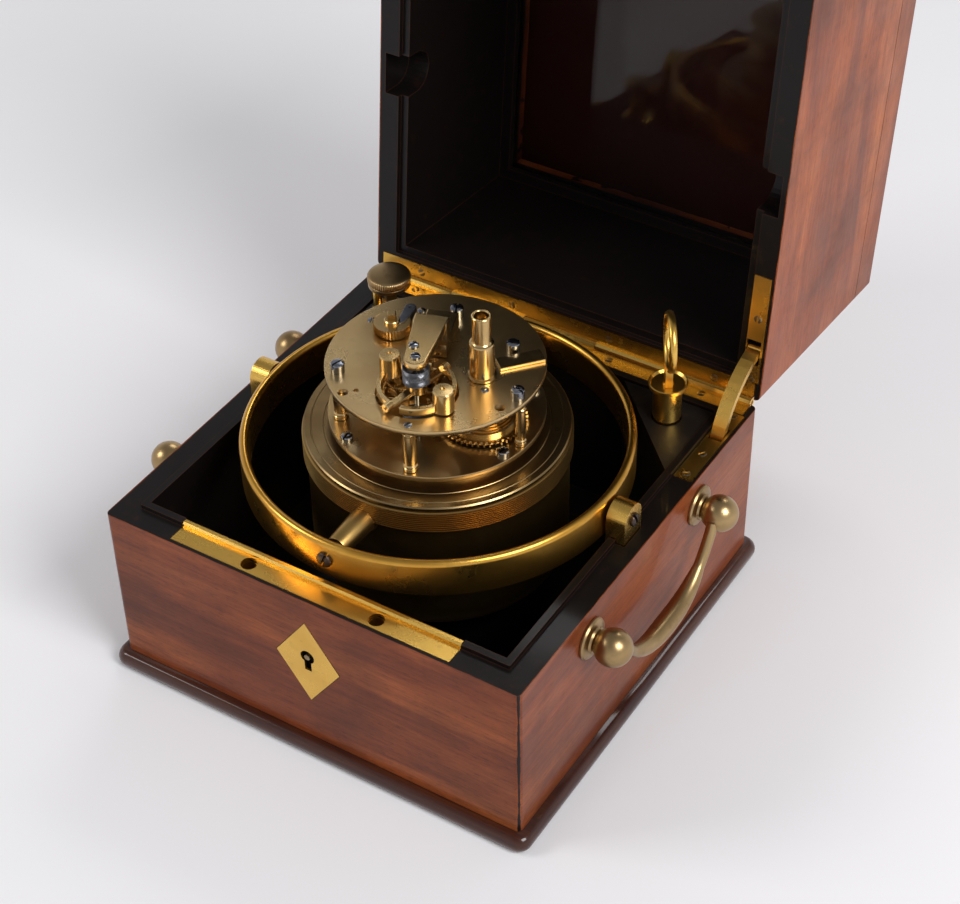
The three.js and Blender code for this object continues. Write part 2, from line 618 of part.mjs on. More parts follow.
// Train. Wheel and pinion share an arbor; every wheel drives the next arbor's pinion.
const GREAT = { teeth: 48, leaves: 10, distance: Math.hypot(...FUSEE_AT) };
const CENTRE = { teeth: 60, leaves: 8, distance: 11.25 };
const THIRD = { teeth: 48, leaves: 6, distance: 9.35 };
const FOURTH = { teeth: 48, leaves: 6, distance: 9 };
const THIRD_AT = polar([0, 0], CENTRE.distance, -135);
const FOURTH_AT = polar(THIRD_AT, THIRD.distance, 190);
const ESCAPE_AT = polar(FOURTH_AT, FOURTH.distance, -62);

function polar([x, y], distance, degrees) {
  const a = THREE.MathUtils.degToRad(degrees);
  return [x + distance * Math.cos(a), y + distance * Math.sin(a)];
}

function bearing([x0, y0], [x1, y1]) {
  return Math.atan2(y1 - y0, x1 - x0);
}

function moduleOf({ teeth, leaves, distance }) {
  return (2 * distance) / (teeth + leaves);
}

// A toothed outline whose tooth number zero is centred on the angle at.
function gear(teeth, module, at) {
  const pitch = (teeth * module) / 2;
  const step = (Math.PI * 2) / teeth;
  const points = [];
  for (let i = 0; i < teeth; i++) {
    points.push(polar([0, 0], pitch - 1.2 * module, THREE.MathUtils.radToDeg(at + (i - 0.5) * step)));
    points.push(polar([0, 0], pitch + 0.75 * module, THREE.MathUtils.radToDeg(at + i * step)));
  }
  return polygon(points);
}

// The wheel's tooth and the pinion's gap both lie on the line between their centres.
function wheel(stage, at, next, z0, z1) {
  return prism(gear(stage.teeth, moduleOf(stage), bearing(at, next)), z0, z1).translate(...at, 0);
}

function pinion(stage, at, previous, z0, z1) {
  const gap = bearing(at, previous) + Math.PI / stage.leaves;
  return prism(gear(stage.leaves, moduleOf(stage), gap), z0, z1).translate(...at, 0);
}

function barrel() {
  const z0 = PILLAR_PLATE_Z + PLATE_THICK + 1.2;
  const profile = [[0, z0], [BARREL_R, z0], [BARREL_R, 123.2], [BARREL_R - 0.6, 124], [0, 124]];
  const drum = turned(profile, 32, BARREL_AT);
  return join(drum, rod(1.3, 109.4, TOP_FACE + 1.6, BARREL_AT, 12));
}

function fusee() {
  const z0 = 112.5;
  const cone = [[0, z0 + 1], [13.6, z0 + 1], [13.6, z0 + 3]];
  for (let i = 0; i < 4; i++) {
    cone.push([12.8 - i * 1.6, z0 + 3.6 + i * 1.8], [12 - i * 1.6, z0 + 4.4 + i * 1.8]);
  }
  cone.push([6, 123.8], [0, 123.8]);
  const square = rod(2.4, 123, 158, FUSEE_AT, 4);
  const arbor = rod(1.3, 109.4, 124, FUSEE_AT, 12);
  return join(wheel(GREAT, FUSEE_AT, [0, 0], z0, z0 + 1.5), turned(cone, 20, FUSEE_AT), arbor, square);
}

function centreWheel() {
  const arbor = [rod(1.5, 98, 124.6, [0, 0], 16), rod(0.6, 124, 133, [0, 0], 12)];
  return join(wheel(CENTRE, [0, 0], THIRD_AT, 125.2, 126), pinion(GREAT, [0, 0], FUSEE_AT, 112, 114.6),
    ...arbor, rod(2.2, 123.8, 125.6, [0, 0], 16));
}

function thirdWheel() {
  return join(wheel(THIRD, THIRD_AT, FOURTH_AT, 127.2, 128), pinion(CENTRE, THIRD_AT, [0, 0], 124.6, 127.4),
    rod(0.5, 110, 133, THIRD_AT, 12));
}

function fourthWheel() {
  return join(wheel(FOURTH, FOURTH_AT, ESCAPE_AT, 129.2, 130),
    pinion(THIRD, FOURTH_AT, THIRD_AT, 126.6, 129.4), rod(0.5, 98, 133, FOURTH_AT, 12));
}

function escapeWheel() {
  const club = prism(sawTeeth(15, 8, 6), 122.6, 123.4).translate(...ESCAPE_AT, 0);
  return join(club, pinion(FOURTH, ESCAPE_AT, FOURTH_AT, 128.8, 130.4), rod(0.5, 110, 133, ESCAPE_AT, 12));
}

// The detent: a foot under the top plate and a thin blade past the escape wheel.
function detent() {
  const blade = block(-9, 12, -0.25, 0.25, 122.5, 123.5);
  const foot = block(-10.5, -7, -1.8, 1.8, 122, TOP_PLATE_Z - FIT);
  const direction = THREE.MathUtils.radToDeg(bearing(ESCAPE_AT, BALANCE_AT));
  const touch = polar(ESCAPE_AT, 8.8, direction - 90);
  return join(blade, foot).rotateZ(THREE.MathUtils.degToRad(direction)).translate(...touch, 0);
}

// Assembly: the case
add('base_board', baseBoard(), MAHOGANY);
add('lower_case', lowerCase(), MAHOGANY);
add('strike_plate', strikePlate(), BRASS);
add('escutcheon', escutcheon(), BRASS);
add('lock_case', lockCase(), BRASS);
add('lock_pin', rodY(1.3, -H - 0.4, -92.2, 0, 53.4, 12), STEEL);
add('lock_bolt', lockBolt(), STEEL);
add('hinge_lower_leaf', hingeLeaf(HINGE_Y, RIM_Z, -1, 0), BRASS);
add('hinge_pin', hingePin(HINGE_Y, RIM_Z), BRASS);
add('stay_slot_plate', staySlotPlate(), BRASS);
add('key_block', keyBlock(), EBONISED);
add('winding_key', windingKey(), BRASS);
add('gimbal_lock_block', gimbalLockBlock(), EBONISED);
add('gimbal_lock_base', gimbalLockBase(), BRASS);
add('gimbal_lock_knob', gimbalLockKnob(), BRASS);
for (const [side, word] of [[1, 'right'], [-1, 'left']]) {
  add(`gimbal_lug_${word}`, gimbalLug(side), BRASS);
  add(`gimbal_screw_${word}`, gimbalScrew(side), STEEL);
  add(`handle_${word}`, handleBail(side), BRASS);
  add(`handle_mount_${word}_front`, handleMount(side, -side * HANDLE_HALF), BRASS);
  add(`handle_mount_${word}_rear`, handleMount(side, side * HANDLE_HALF), BRASS);
}

// Assembly: the gimbal and the bowl
add('gimbal_ring', gimbalRing(), BRASS);
add('bowl_pivot_screw_front', bowlPivotScrew(-1), DARK_STEEL);
add('bowl_pivot_screw_rear', bowlPivotScrew(1), DARK_STEEL);
add('bowl', bowl(), BRASS);

// Assembly: the movement
add('dial_plate', dialPlate(), BRASS);
add('pillar_plate', pillarPlate(), BRIGHT_BRASS);
add('top_plate', topPlate(), BRIGHT_BRASS);
PILLARS.forEach((at, i) => add(`pillar_${i + 1}`, pillar(at), BRIGHT_BRASS));
add('balance_cock', balanceCock(), BRIGHT_BRASS);
add('winding_pipe', windingPipe(), BRIGHT_BRASS);
add('setup_ratchet', setupRatchet(), BRIGHT_BRASS);
add('balance_spring', balanceSpring(), STEEL);
add('balance_wheel', balanceWheel(), BRIGHT_BRASS);
add('balance_staff', balanceStaff(), STEEL);
add('barrel', barrel(), BRIGHT_BRASS);
add('fusee', fusee(), BRIGHT_BRASS);
add('centre_wheel', centreWheel(), BRIGHT_BRASS);
add('third_wheel', thirdWheel(), BRIGHT_BRASS);
add('fourth_wheel', fourthWheel(), BRIGHT_BRASS);
add('escape_wheel', escapeWheel(), BRIGHT_BRASS);
add('detent', detent(), STEEL);

// Assembly: the tier and the lid, swung open together about the tier's hinge
const LID_Z = RIM_Z + TIER_HEIGHT;
add('tier_frame', tierFrame(), MAHOGANY, tierGroup);
add('hinge_upper_leaf', hingeLeaf(HINGE_Y, RIM_Z, 1, 1), BRASS, tierGroup);
add('tier_stay_plate', tierStayPlate(), BRASS, tierGroup);
add('tier_lock_plate', tierLockPlate(), BRASS, tierGroup);
add('tier_glass', tierGlass(), GLASS, tierGroup);
add('glass_bead', glassBead(), EBONISED, tierGroup);
add('lid_hinge_lower_leaf', hingeLeaf(HINGE_Y, LID_Z, -1, 0), BRASS, tierGroup);
add('lid_hinge_pin', hingePin(HINGE_Y, LID_Z), BRASS, tierGroup);
add('lid_hinge_upper_leaf', hingeLeaf(HINGE_Y, LID_Z, 1, 1), BRASS, tierGroup);
add('top_lid', topLid(), MAHOGANY, tierGroup);
add('stay_arm', stayArm(), BRASS, stayGroup);

stayGroup.position.set(0, HINGE_Y - STAY.reach, RIM_Z + STAY.depth);
stayGroup.rotation.x = STAY_TURN;
tierGroup.add(stayGroup);
tierGroup.children.forEach((child) => child.position.sub(new THREE.Vector3(0, HINGE_Y, RIM_Z)));
tierGroup.position.set(0, HINGE_Y, RIM_Z);
tierGroup.rotation.x = -OPEN_ANGLE;
part.add(tierGroup);

export default part;
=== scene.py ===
"""Looks of the boxed marine chronometer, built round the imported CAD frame.

Lengths in the shape code are millimetres and become metres when a mesh is made.
"""

import math
import random

import bmesh
import bpy
from mathutils import Matrix, Vector


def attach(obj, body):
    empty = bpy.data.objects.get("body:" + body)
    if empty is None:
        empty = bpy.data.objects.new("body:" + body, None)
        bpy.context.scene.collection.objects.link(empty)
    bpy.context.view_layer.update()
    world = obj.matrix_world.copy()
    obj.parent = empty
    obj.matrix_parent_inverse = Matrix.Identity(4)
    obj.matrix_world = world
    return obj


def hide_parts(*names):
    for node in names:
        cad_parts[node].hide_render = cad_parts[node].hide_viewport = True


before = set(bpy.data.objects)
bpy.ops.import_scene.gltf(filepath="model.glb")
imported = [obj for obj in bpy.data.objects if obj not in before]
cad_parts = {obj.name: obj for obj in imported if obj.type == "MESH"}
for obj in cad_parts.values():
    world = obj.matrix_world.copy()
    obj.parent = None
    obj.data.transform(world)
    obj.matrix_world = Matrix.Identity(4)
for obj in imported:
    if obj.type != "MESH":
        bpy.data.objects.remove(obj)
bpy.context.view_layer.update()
MM = 0.001

# Sizes of the CAD frame that the detailed pieces repeat, in millimetres and degrees
CASE_HALF = 95.0
RIM_Z = 83.3
OPEN = math.radians(95.8)
HINGE = Vector((0, 96.4, RIM_Z))
AXIS_Z = 92.3
BALANCE = (4.5, -20.0)
BARREL = (-25.0, 7.5)
FUSEE = (20.6, 1.2)
KEY = (66.0, 70.0)
KEY_TURN = 34
KNOB = (-70.0, 70.0)
TOP_FACE = 134.0
HANDLE_Z = 69.0
HANDLE_HALF = 43.5
HANDLE_X = 105.0
LUG_X = 89.1
RING_R = 79.2
BOWL_R = 52.6
THREAD_R = 54.05
PLATE_R = 43.2
PLATE_THICK = 2.3
LOWER_FACE = 111.3
ARBOR_FOOT = 109.4
COCK_TURN = 109
COCK_TOP = 151.0
ARM_ANGLE = -100.5
WEIGHT_ANGLE = -15

# Strength of the sky near the horizon and overhead
HORIZON = 0.82
OVERHEAD = 0.28

# The camera's place in metres, its direction in degrees and its lens in millimetres
CAMERA_PLACE = (0.3720, -0.5489, 0.6562)
CAMERA_AZIMUTH = 32.70
CAMERA_HEIGHT = 40.67
CAMERA_ROLL = -1.19
CAMERA_LENS = 81.60


# ---------------------------------------------------------------- mesh code
def mesh_object(name, verts, faces, smooth=35):
    mesh = bpy.data.meshes.new(name)
    mesh.from_pydata([Vector(v) * MM for v in verts], [], faces)
    bm = bmesh.new()
    bm.from_mesh(mesh)
    bmesh.ops.remove_doubles(bm, verts=bm.verts, dist=1e-7)
    bmesh.ops.recalc_face_normals(bm, faces=bm.faces)
    bm.to_mesh(mesh)
    bm.free()
    return linked(name, mesh, smooth)


def linked(name, data, smooth=None):
    """A new object in the scene that shows the data."""
    obj = bpy.data.objects.new(name, data)
    bpy.context.collection.objects.link(obj)
    if smooth is not None:
        shade(obj, smooth)
    return obj


def shade(obj, angle):
    """Smooth shading, with edges sharper than the angle left crisp."""
    obj.data.polygons.foreach_set("use_smooth", [True] * len(obj.data.polygons))
    obj.data.set_sharp_from_angle(angle=math.radians(angle))


def turned(name, profile, sides=96, at=(0, 0), closed=False, radius=None, smooth=30):
    """A body of revolution about +Z through at, from (radius, z) pairs."""
    verts, faces = [], []
    count = len(profile)
    for i in range(sides):
        a = 2 * math.pi * i / sides
        for j, (r, z) in enumerate(profile):
            r = radius(r, z, a) if radius else r
            verts.append((at[0] + r * math.cos(a), at[1] + r * math.sin(a), z))
    spans = count if closed else count - 1
    for i in range(sides):
        k = (i + 1) % sides
        for j in range(spans):
            m = (j + 1) % count
            faces.append((i * count + j, k * count + j, k * count + m, i * count + m))
    return mesh_object(name, verts, faces, smooth)


def placed(obj, matrix):
    """Moves the mesh itself by a matrix given in millimetres."""
    scaled = matrix.copy()
    scaled.translation = matrix.translation * MM
    obj.data.transform(scaled)
    obj.data.update()
    return obj


def turn(axis, degrees):
    return Matrix.Rotation(math.radians(degrees), 4, axis)


def tilted():
    """From the tier drawn shut to the tier standing open."""
    return (Matrix.Translation(HINGE) @ Matrix.Rotation(-OPEN, 4, "X")
            @ Matrix.Translation(-HINGE))


def outline_plate(name, outer, holes, z0, z1, edge):
    """A flat plate with holes, from loops of (x, y), with softened edges."""
    curve = bpy.data.curves.new(name, "CURVE")
    curve.dimensions = "2D"
    curve.fill_mode = "BOTH"
    curve.extrude = ((z1 - z0) / 2 - edge) * MM
    curve.bevel_depth = edge * MM
    curve.bevel_resolution = 1
    curve.offset = -edge * MM
    for loop in [outer] + list(holes):
        spline = curve.splines.new("POLY")
        spline.points.add(len(loop) - 1)
        for point, (x, y) in zip(spline.points, loop):
            point.co = (x * MM, y * MM, 0, 1)
        spline.use_cyclic_u = True
    mesh = evaluated_mesh(linked(name + "_curve", curve), remove=True)
    mesh.transform(Matrix.Translation((0, 0, (z0 + z1) / 2 * MM)))
    return linked(name, mesh, 30)


def evaluated_mesh(obj, remove=False):
    """The mesh of a curve, or of a mesh with its modifiers applied."""
    graph = bpy.context.evaluated_depsgraph_get()
    mesh = bpy.data.meshes.new_from_object(obj.evaluated_get(graph))
    if remove:
        bpy.data.objects.remove(obj)
        mesh.materials.clear()
    return mesh


def circle(r, at=(0, 0), sides=16):
    return [(at[0] + r * math.cos(2 * math.pi * i / sides),
             at[1] + r * math.sin(2 * math.pi * i / sides)) for i in range(sides)]


def arc(r, a0, a1, steps, at=(0, 0)):
    """Points along an arc between two angles in degrees."""
    return [(at[0] + r * math.cos(math.radians(a0 + (a1 - a0) * i / steps)),
             at[1] + r * math.sin(math.radians(a0 + (a1 - a0) * i / steps)))
            for i in range(steps + 1)]


def bar(name, x0, x1, y0, y1, z0, z1, edge):
    """A squared bar with softened edges."""
    return outline_plate(name, [(x0, y0), (x1, y0), (x1, y1), (x0, y1)], [], z0, z1, edge)


def tube(name, points, radius, sides, taper=None, cyclic=False):
    """A round bar along a smooth path; taper gives each point's share of the radius."""
    curve = bpy.data.curves.new(name, "CURVE")
    curve.dimensions = "3D"
    curve.bevel_depth = radius * MM
    curve.bevel_resolution = sides // 4
    curve.use_fill_caps = True
    spline = curve.splines.new("POLY")
    spline.points.add(len(points) - 1)
    for i, (x, y, z) in enumerate(points):
        spline.points[i].co = (x * MM, y * MM, z * MM, 1)
        spline.points[i].radius = taper[i] if taper else 1.0
    spline.use_cyclic_u = cyclic
    return linked(name, evaluated_mesh(linked(name + "_curve", curve), remove=True), 40)


def merge(name, objects, smooth=30):
    """One piece from several meshes that belong to the same solid."""
    bm = bmesh.new()
    for obj in objects:
        bm.from_mesh(obj.data)
        bpy.data.objects.remove(obj)
    mesh = bpy.data.meshes.new(name)
    bm.to_mesh(mesh)
    bm.free()
    return linked(name, mesh, smooth)


def carve(obj, tools):
    """Cuts the tools out of obj with exact booleans."""
    for tool in tools:
        modifier = obj.modifiers.new("cut", "BOOLEAN")
        modifier.operation = "DIFFERENCE"
        modifier.solver = "EXACT"
        modifier.object = tool
    mesh = evaluated_mesh(obj)
    obj.modifiers.clear()
    obj.data = mesh
    for tool in tools:
        bpy.data.objects.remove(tool)
    shade(obj, 30)
    return obj


def soften(obj, width):
    bevel = obj.modifiers.new("edges", "BEVEL")
    bevel.width = width * MM
    bevel.segments = 2
    bevel.limit_method = "ANGLE"
    bevel.angle_limit = math.radians(35)
    bevel.harden_normals = True


def screw(radius, height, slot_angle, dome=0.25, slot=0.22):
    """A slotted screw head standing on z = 0, with a bevelled rim."""
    profile = [(0, -0.3), (radius, -0.3), (radius, height - 0.18 * radius),
               (radius * 0.93, height - 0.06 * radius), (radius * 0.8, height),
               (radius * 0.4, height + dome * 0.5), (0, height + dome * 0.6)]
    head = turned("screw", profile, 32)
    width = slot * radius
    cutter = bar("slot", -radius * 1.3, radius * 1.3, -width, width,
                 height - 0.45 * radius, height + 2, 0.01)
    placed(cutter, turn("Z", slot_angle))
    return carve(head, [cutter])


def screws(name, places, body, material, slot_name, radius, height, **look):
    """Several slotted screws as one piece, each at the place of a matrix in millimetres."""
    rng = random.Random(len(name) * 7 + len(places))
    heads = []
    for place in places:
        head = screw(radius, height, rng.uniform(0, 180), **look)
        placed(head, place)
        heads.append(head)
    finish_piece(merge(name, heads), body, material)


def finish_piece(obj, body, material, nodes=()):
    """Gives a piece its material and body, and hides the CAD nodes it stands in for."""
    obj.data.materials.clear()
    obj.data.materials.append(material)
    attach(obj, body)
    if nodes:
        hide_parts(*nodes)


# ---------------------------------------------------------------- materials
class Shader:
    """A principled material whose inputs are fed by procedural nodes."""

    def __init__(self, name):
        self.material = bpy.data.materials.new(name)
        self.material.use_nodes = True
        self.tree = self.material.node_tree
        self.tree.nodes.clear()
        self.out = self.tree.nodes.new("ShaderNodeOutputMaterial")
        self.bsdf = self.tree.nodes.new("ShaderNodeBsdfPrincipled")
        self.tree.links.new(self.bsdf.outputs[0], self.out.inputs[0])
        self.coords = self.tree.nodes.new("ShaderNodeTexCoord")

    def node(self, kind, **values):
        made = self.tree.nodes.new(kind)
        for key, value in values.items():
            if hasattr(made, key):
                setattr(made, key, value)
            else:
                made.inputs[key.replace("_", " ")].default_value = value
        return made

    def link(self, source, target):
        self.tree.links.new(source, target)

    def joined(self, *parts):
        made = self.node("ShaderNodeCombineXYZ")
        for part, socket in zip(parts, made.inputs):
            self.link(part, socket)
        return made.outputs[0]

    def mapped(self, scale=(1, 1, 1), rotation=(0, 0, 0), source=None, location=(0, 0, 0)):
        mapping = self.node("ShaderNodeMapping")
        mapping.inputs["Scale"].default_value = scale
        mapping.inputs["Rotation"].default_value = rotation
        mapping.inputs["Location"].default_value = location
        self.link(source or self.coords.outputs["Object"], mapping.inputs["Vector"])
        return mapping.outputs[0]

    def noise(self, vector, scale, detail=4.0, rough=0.55, distortion=0.0):
        made = self.node("ShaderNodeTexNoise", Scale=scale, Detail=detail, Roughness=rough,
                         Distortion=distortion)
        self.link(vector, made.inputs["Vector"])
        return made.outputs["Fac"]

    def ramp(self, source, stops):
        made = self.node("ShaderNodeValToRGB")
        elements = made.color_ramp.elements
        while len(elements) < len(stops):
            elements.new(0.5)
        for element, (place, colour) in zip(elements, stops):
            element.position = place
            element.color = (*colour, 1)
        self.link(source, made.inputs[0])
        return made.outputs[0]

    def spread(self, source, low, high, to_low, to_high):
        made = self.node("ShaderNodeMapRange")
        for key, value in zip((1, 2, 3, 4), (low, high, to_low, to_high)):
            made.inputs[key].default_value = value
        self.link(source, made.inputs[0])
        return made.outputs[0]

    def mix(self, factor, a, b, blend="MIX"):
        made = self.node("ShaderNodeMix", data_type="RGBA", blend_type=blend)
        for socket, value in ((made.inputs[0], factor), (made.inputs[6], a), (made.inputs[7], b)):
            if isinstance(value, (float, int)):
                socket.default_value = value
            elif isinstance(value, tuple):
                socket.default_value = (*value, 1)
            else:
                self.link(value, socket)
        return made.outputs[2]

    def maths(self, operation, a, b=None):
        made = self.node("ShaderNodeMath", operation=operation)
        for socket, value in zip(made.inputs, (a, b)):
            if value is None:
                continue
            if isinstance(value, (float, int)):
                socket.default_value = value
            else:
                self.link(value, socket)
        return made.outputs[0]

    def split(self, vector):
        made = self.node("ShaderNodeSeparateXYZ")
        self.link(vector, made.inputs[0])
        return made.outputs

    def bump(self, height, strength, distance=0.0004):
        made = self.node("ShaderNodeBump", Strength=strength, Distance=distance)
        self.link(height, made.inputs["Height"])
        self.link(made.outputs[0], self.bsdf.inputs["Normal"])

    def edges(self, width):
        """1 along the edges of the shape, fading out over width millimetres."""
        rounded = self.node("ShaderNodeBevel", samples=4, Radius=width * MM)
        geometry = self.node("ShaderNodeNewGeometry")
        alike = self.node("ShaderNodeVectorMath", operation="DOT_PRODUCT")
        self.link(rounded.outputs[0], alike.inputs[0])
        self.link(geometry.outputs["Normal"], alike.inputs[1])
        return self.spread(alike.outputs["Value"], 0.80, 0.97, 1.0, 0.0)


def polar(shader, at):
    """Coordinates round an upright axis: length along the radius, angle, height."""
    x, y, z = shader.split(shader.mapped(location=(-at[0] * MM, -at[1] * MM, 0)))
    radius = shader.maths("SQRT", shader.maths(
        "ADD", shader.maths("MULTIPLY", x, x), shader.maths("MULTIPLY", y, y)))
    angle = shader.maths("ARCTAN2", y, x)
    return shader.joined(radius, shader.maths("MULTIPLY", angle, 0.004), z)


def brass(name, light, dark, rough, tarnish=0.35, lathe=None, wear=0.5):
    """Aged lacquered brass; lathe gives the upright axis that it was turned round."""
    s = Shader(name)
    wide = s.noise(s.mapped(), 36, 3, 0.5, 0.2)
    small = s.noise(s.mapped(), 210, 4, 0.5, 0.2)
    colour = s.mix(s.spread(wide, 0.3, 0.72, 0, 1), light, dark)
    spots = s.spread(small, 0.58, 0.82, 0.0, tarnish)
    stained = s.mix(spots, colour, tuple(c * 0.42 for c in dark))
    bright = tuple(min(1.0, c * 1.18) for c in light)
    s.link(s.mix(s.maths("MULTIPLY", s.edges(0.3), wear), stained, bright),
           s.bsdf.inputs["Base Color"])
    s.bsdf.inputs["Metallic"].default_value = 1.0
    lines = None
    if lathe is not None:
        lines = s.noise(s.mapped(source=polar(s, lathe)), 5200, 2, 0.5)
    fine = s.noise(s.mapped(), 1900, 3, 0.6)
    rough_field = s.maths("ADD", s.spread(wide, 0.3, 0.7, rough * 0.88, rough * 1.12),
                          s.spread(small, 0.5, 0.8, 0.0, 0.04))
    s.link(rough_field, s.bsdf.inputs["Roughness"])
    height = fine if lines is None else s.maths("ADD", s.maths("MULTIPLY", fine, 0.2), lines)
    s.bump(height, 0.04 if lathe is None else 0.10, 0.00005)
    return s.material


def steel(name, light, dark, rough, wear=0.5):
    s = Shader(name)
    wide = s.noise(s.mapped(), 260, 4, 0.6)
    fine = s.noise(s.mapped(), 2600, 3, 0.6)
    colour = s.mix(s.spread(wide, 0.35, 0.7, 0, 1), light, dark)
    s.link(s.mix(s.maths("MULTIPLY", s.edges(0.2), wear), colour, (0.70, 0.71, 0.74)),
           s.bsdf.inputs["Base Color"])
    s.bsdf.inputs["Metallic"].default_value = 1.0
    s.link(s.spread(wide, 0.3, 0.7, rough * 0.7, rough * 1.4), s.bsdf.inputs["Roughness"])
    s.bump(fine, 0.06, 0.00004)
    return s.material


def timber(name, shut=False, ebony_and_shade_inside=None, shade_below=None, tint=1.0, coat=0.16,
           ebony_and_shade=(0.006, 0.0045, 0.004)):
    """French-polished mahogany.

    shut turns the grain back for what stands open with the tier. Inside the half width
    ebony_and_shade_inside the wood is darkened,
    up to the height shade_below if given: ebonised on the case and tier, painted shade in the dark red
    inside of the lid.
    """
    s = Shader(name)
    turn_back = (OPEN, 0, 0) if shut else (0, 0, 0)
    hinge = s.node("ShaderNodeVectorMath", operation="SUBTRACT")
    s.link(s.coords.outputs["Object"], hinge.inputs[0])
    hinge.inputs[1].default_value = HINGE * MM if shut else (0, 0, 0)
    upright = s.mapped(rotation=turn_back, source=hinge.outputs[0])
    normal = s.mapped(rotation=turn_back, source=s.coords.outputs["Normal"])
    x, y, z = s.split(upright)
    nx = s.maths("ABSOLUTE", s.split(normal)[0])
    side = s.maths("GREATER_THAN", nx, 0.6)
    grain = s.node("ShaderNodeMix", data_type="VECTOR")
    s.link(side, grain.inputs[0])
    s.link(s.joined(x, y, z), grain.inputs[4])
    s.link(s.joined(s.maths("ADD", y, 0.37), x, z), grain.inputs[5])
    board = grain.outputs[1]
    figure = s.noise(s.mapped((8, 60, 50), source=board), 1.0, 6, 0.6, 0.6)
    streak = s.noise(s.mapped((40, 800, 640), source=board), 1.0, 5, 0.7, 0.3)
    pores = s.noise(s.mapped((230, 3000, 2600), source=board), 1.0, 2, 0.5)
    stain = s.noise(s.mapped((1, 1, 1.6)), 15, 5, 0.6, 0.3)
    stops = ((0.28, (0.105, 0.022, 0.008)), (0.46, (0.18, 0.041, 0.012)),
             (0.60, (0.25, 0.064, 0.017)), (0.80, (0.33, 0.098, 0.027)))
    shades = s.ramp(figure, [(at, tuple(c * tint for c in shade_of)) for at, shade_of in stops])
    veined = s.mix(s.spread(streak, 0.42, 0.74, 0.0, 0.6), shades, (0.06 * tint, 0.013 * tint, 0.005))
    aged = s.mix(s.spread(stain, 0.47, 0.72, 0.0, 0.6), veined, (0.045 * tint, 0.011 * tint, 0.006))
    pored = s.mix(s.spread(pores, 0.57, 0.68, 0.0, 0.5), aged, (0.03 * tint, 0.007, 0.004))
    colour = pored
    # The darkened inside is ebonised wood on the case and tier, and painted shade on the lid.
    if ebony_and_shade_inside is not None:
        half = s.maths("MAXIMUM", s.maths("ABSOLUTE", x), s.maths("ABSOLUTE", s.maths(
            "ADD", y, HINGE.y * MM if shut else 0.0)))
        wobble = s.spread(s.noise(s.mapped(), 90, 3), 0.3, 0.7, -0.0002, 0.0002)
        inside = s.maths("LESS_THAN", s.maths("ADD", half, wobble), ebony_and_shade_inside * MM)
        if shade_below is not None:
            inside = s.maths("MULTIPLY", inside, s.maths("LESS_THAN", z, shade_below * MM))
        rub = s.spread(s.noise(s.mapped(), 160, 5, 0.7), 0.56, 0.74, 0.0, 0.3)
        dark = s.mix(rub, ebony_and_shade, (0.04, 0.013, 0.007))
        colour = s.mix(inside, pored, dark)
    s.link(s.mix(s.maths("MULTIPLY", s.edges(0.8), 0.35), colour, (0.10, 0.035, 0.018)),
           s.bsdf.inputs["Base Color"])
    smear = s.noise(s.mapped(), 48, 4, 0.6)
    s.link(s.spread(smear, 0.3, 0.7, 0.28, 0.42), s.bsdf.inputs["Roughness"])
    s.bsdf.inputs["Coat Weight"].default_value = coat
    s.bsdf.inputs["Coat Roughness"].default_value = 0.07
    s.bsdf.inputs["Specular IOR Level"].default_value = 0.13
    s.bsdf.inputs["Coat IOR"].default_value = 1.45
    height = s.maths("ADD", s.maths("MULTIPLY", pores, -0.5), s.maths("MULTIPLY", streak, 0.5))
    s.bump(height, 0.08, 0.0002)
    return s.material


def ebonised(name):
    s = Shader(name)
    rub = s.noise(s.mapped(), 130, 6, 0.7)
    grain = s.noise(s.mapped((30, 700, 700)), 1.0, 3, 0.6)
    s.link(s.mix(s.spread(rub, 0.56, 0.78, 0, 0.7), (0.008, 0.006, 0.005), (0.035, 0.014, 0.009)),
           s.bsdf.inputs["Base Color"])
    s.link(s.spread(rub, 0.3, 0.7, 0.3, 0.5), s.bsdf.inputs["Roughness"])
    s.bump(grain, 0.12, 0.0002)
    return s.material


def clear_glass(name):
    s = Shader(name)
    dust = s.noise(s.mapped(), 70, 6, 0.7)
    s.link(s.spread(dust, 0.4, 0.8, 0.0, 0.06), s.bsdf.inputs["Roughness"])
    s.link(s.mix(s.spread(dust, 0.5, 0.8, 0, 0.5), (0.97, 0.985, 0.98), (0.9, 0.92, 0.9)),
           s.bsdf.inputs["Base Color"])
    s.bsdf.inputs["Transmission Weight"].default_value = 1.0
    s.bsdf.inputs["IOR"].default_value = 1.24
    s.bump(s.noise(s.mapped(), 6, 2), 0.03, 0.001)
    return s.material


def paper_floor(name):
    s = Shader(name)
    cloud = s.noise(s.mapped(), 2.2, 4, 0.55)
    s.link(s.mix(s.spread(cloud, 0.35, 0.7, 0, 1), (0.84, 0.835, 0.85), (0.81, 0.805, 0.82)),
           s.bsdf.inputs["Base Color"])
    s.bsdf.inputs["Roughness"].default_value = 0.75
    s.bsdf.inputs["Specular IOR Level"].default_value = 0.2
    s.bump(s.noise(s.mapped(), 900, 3), 0.03, 0.0002)
    return s.material


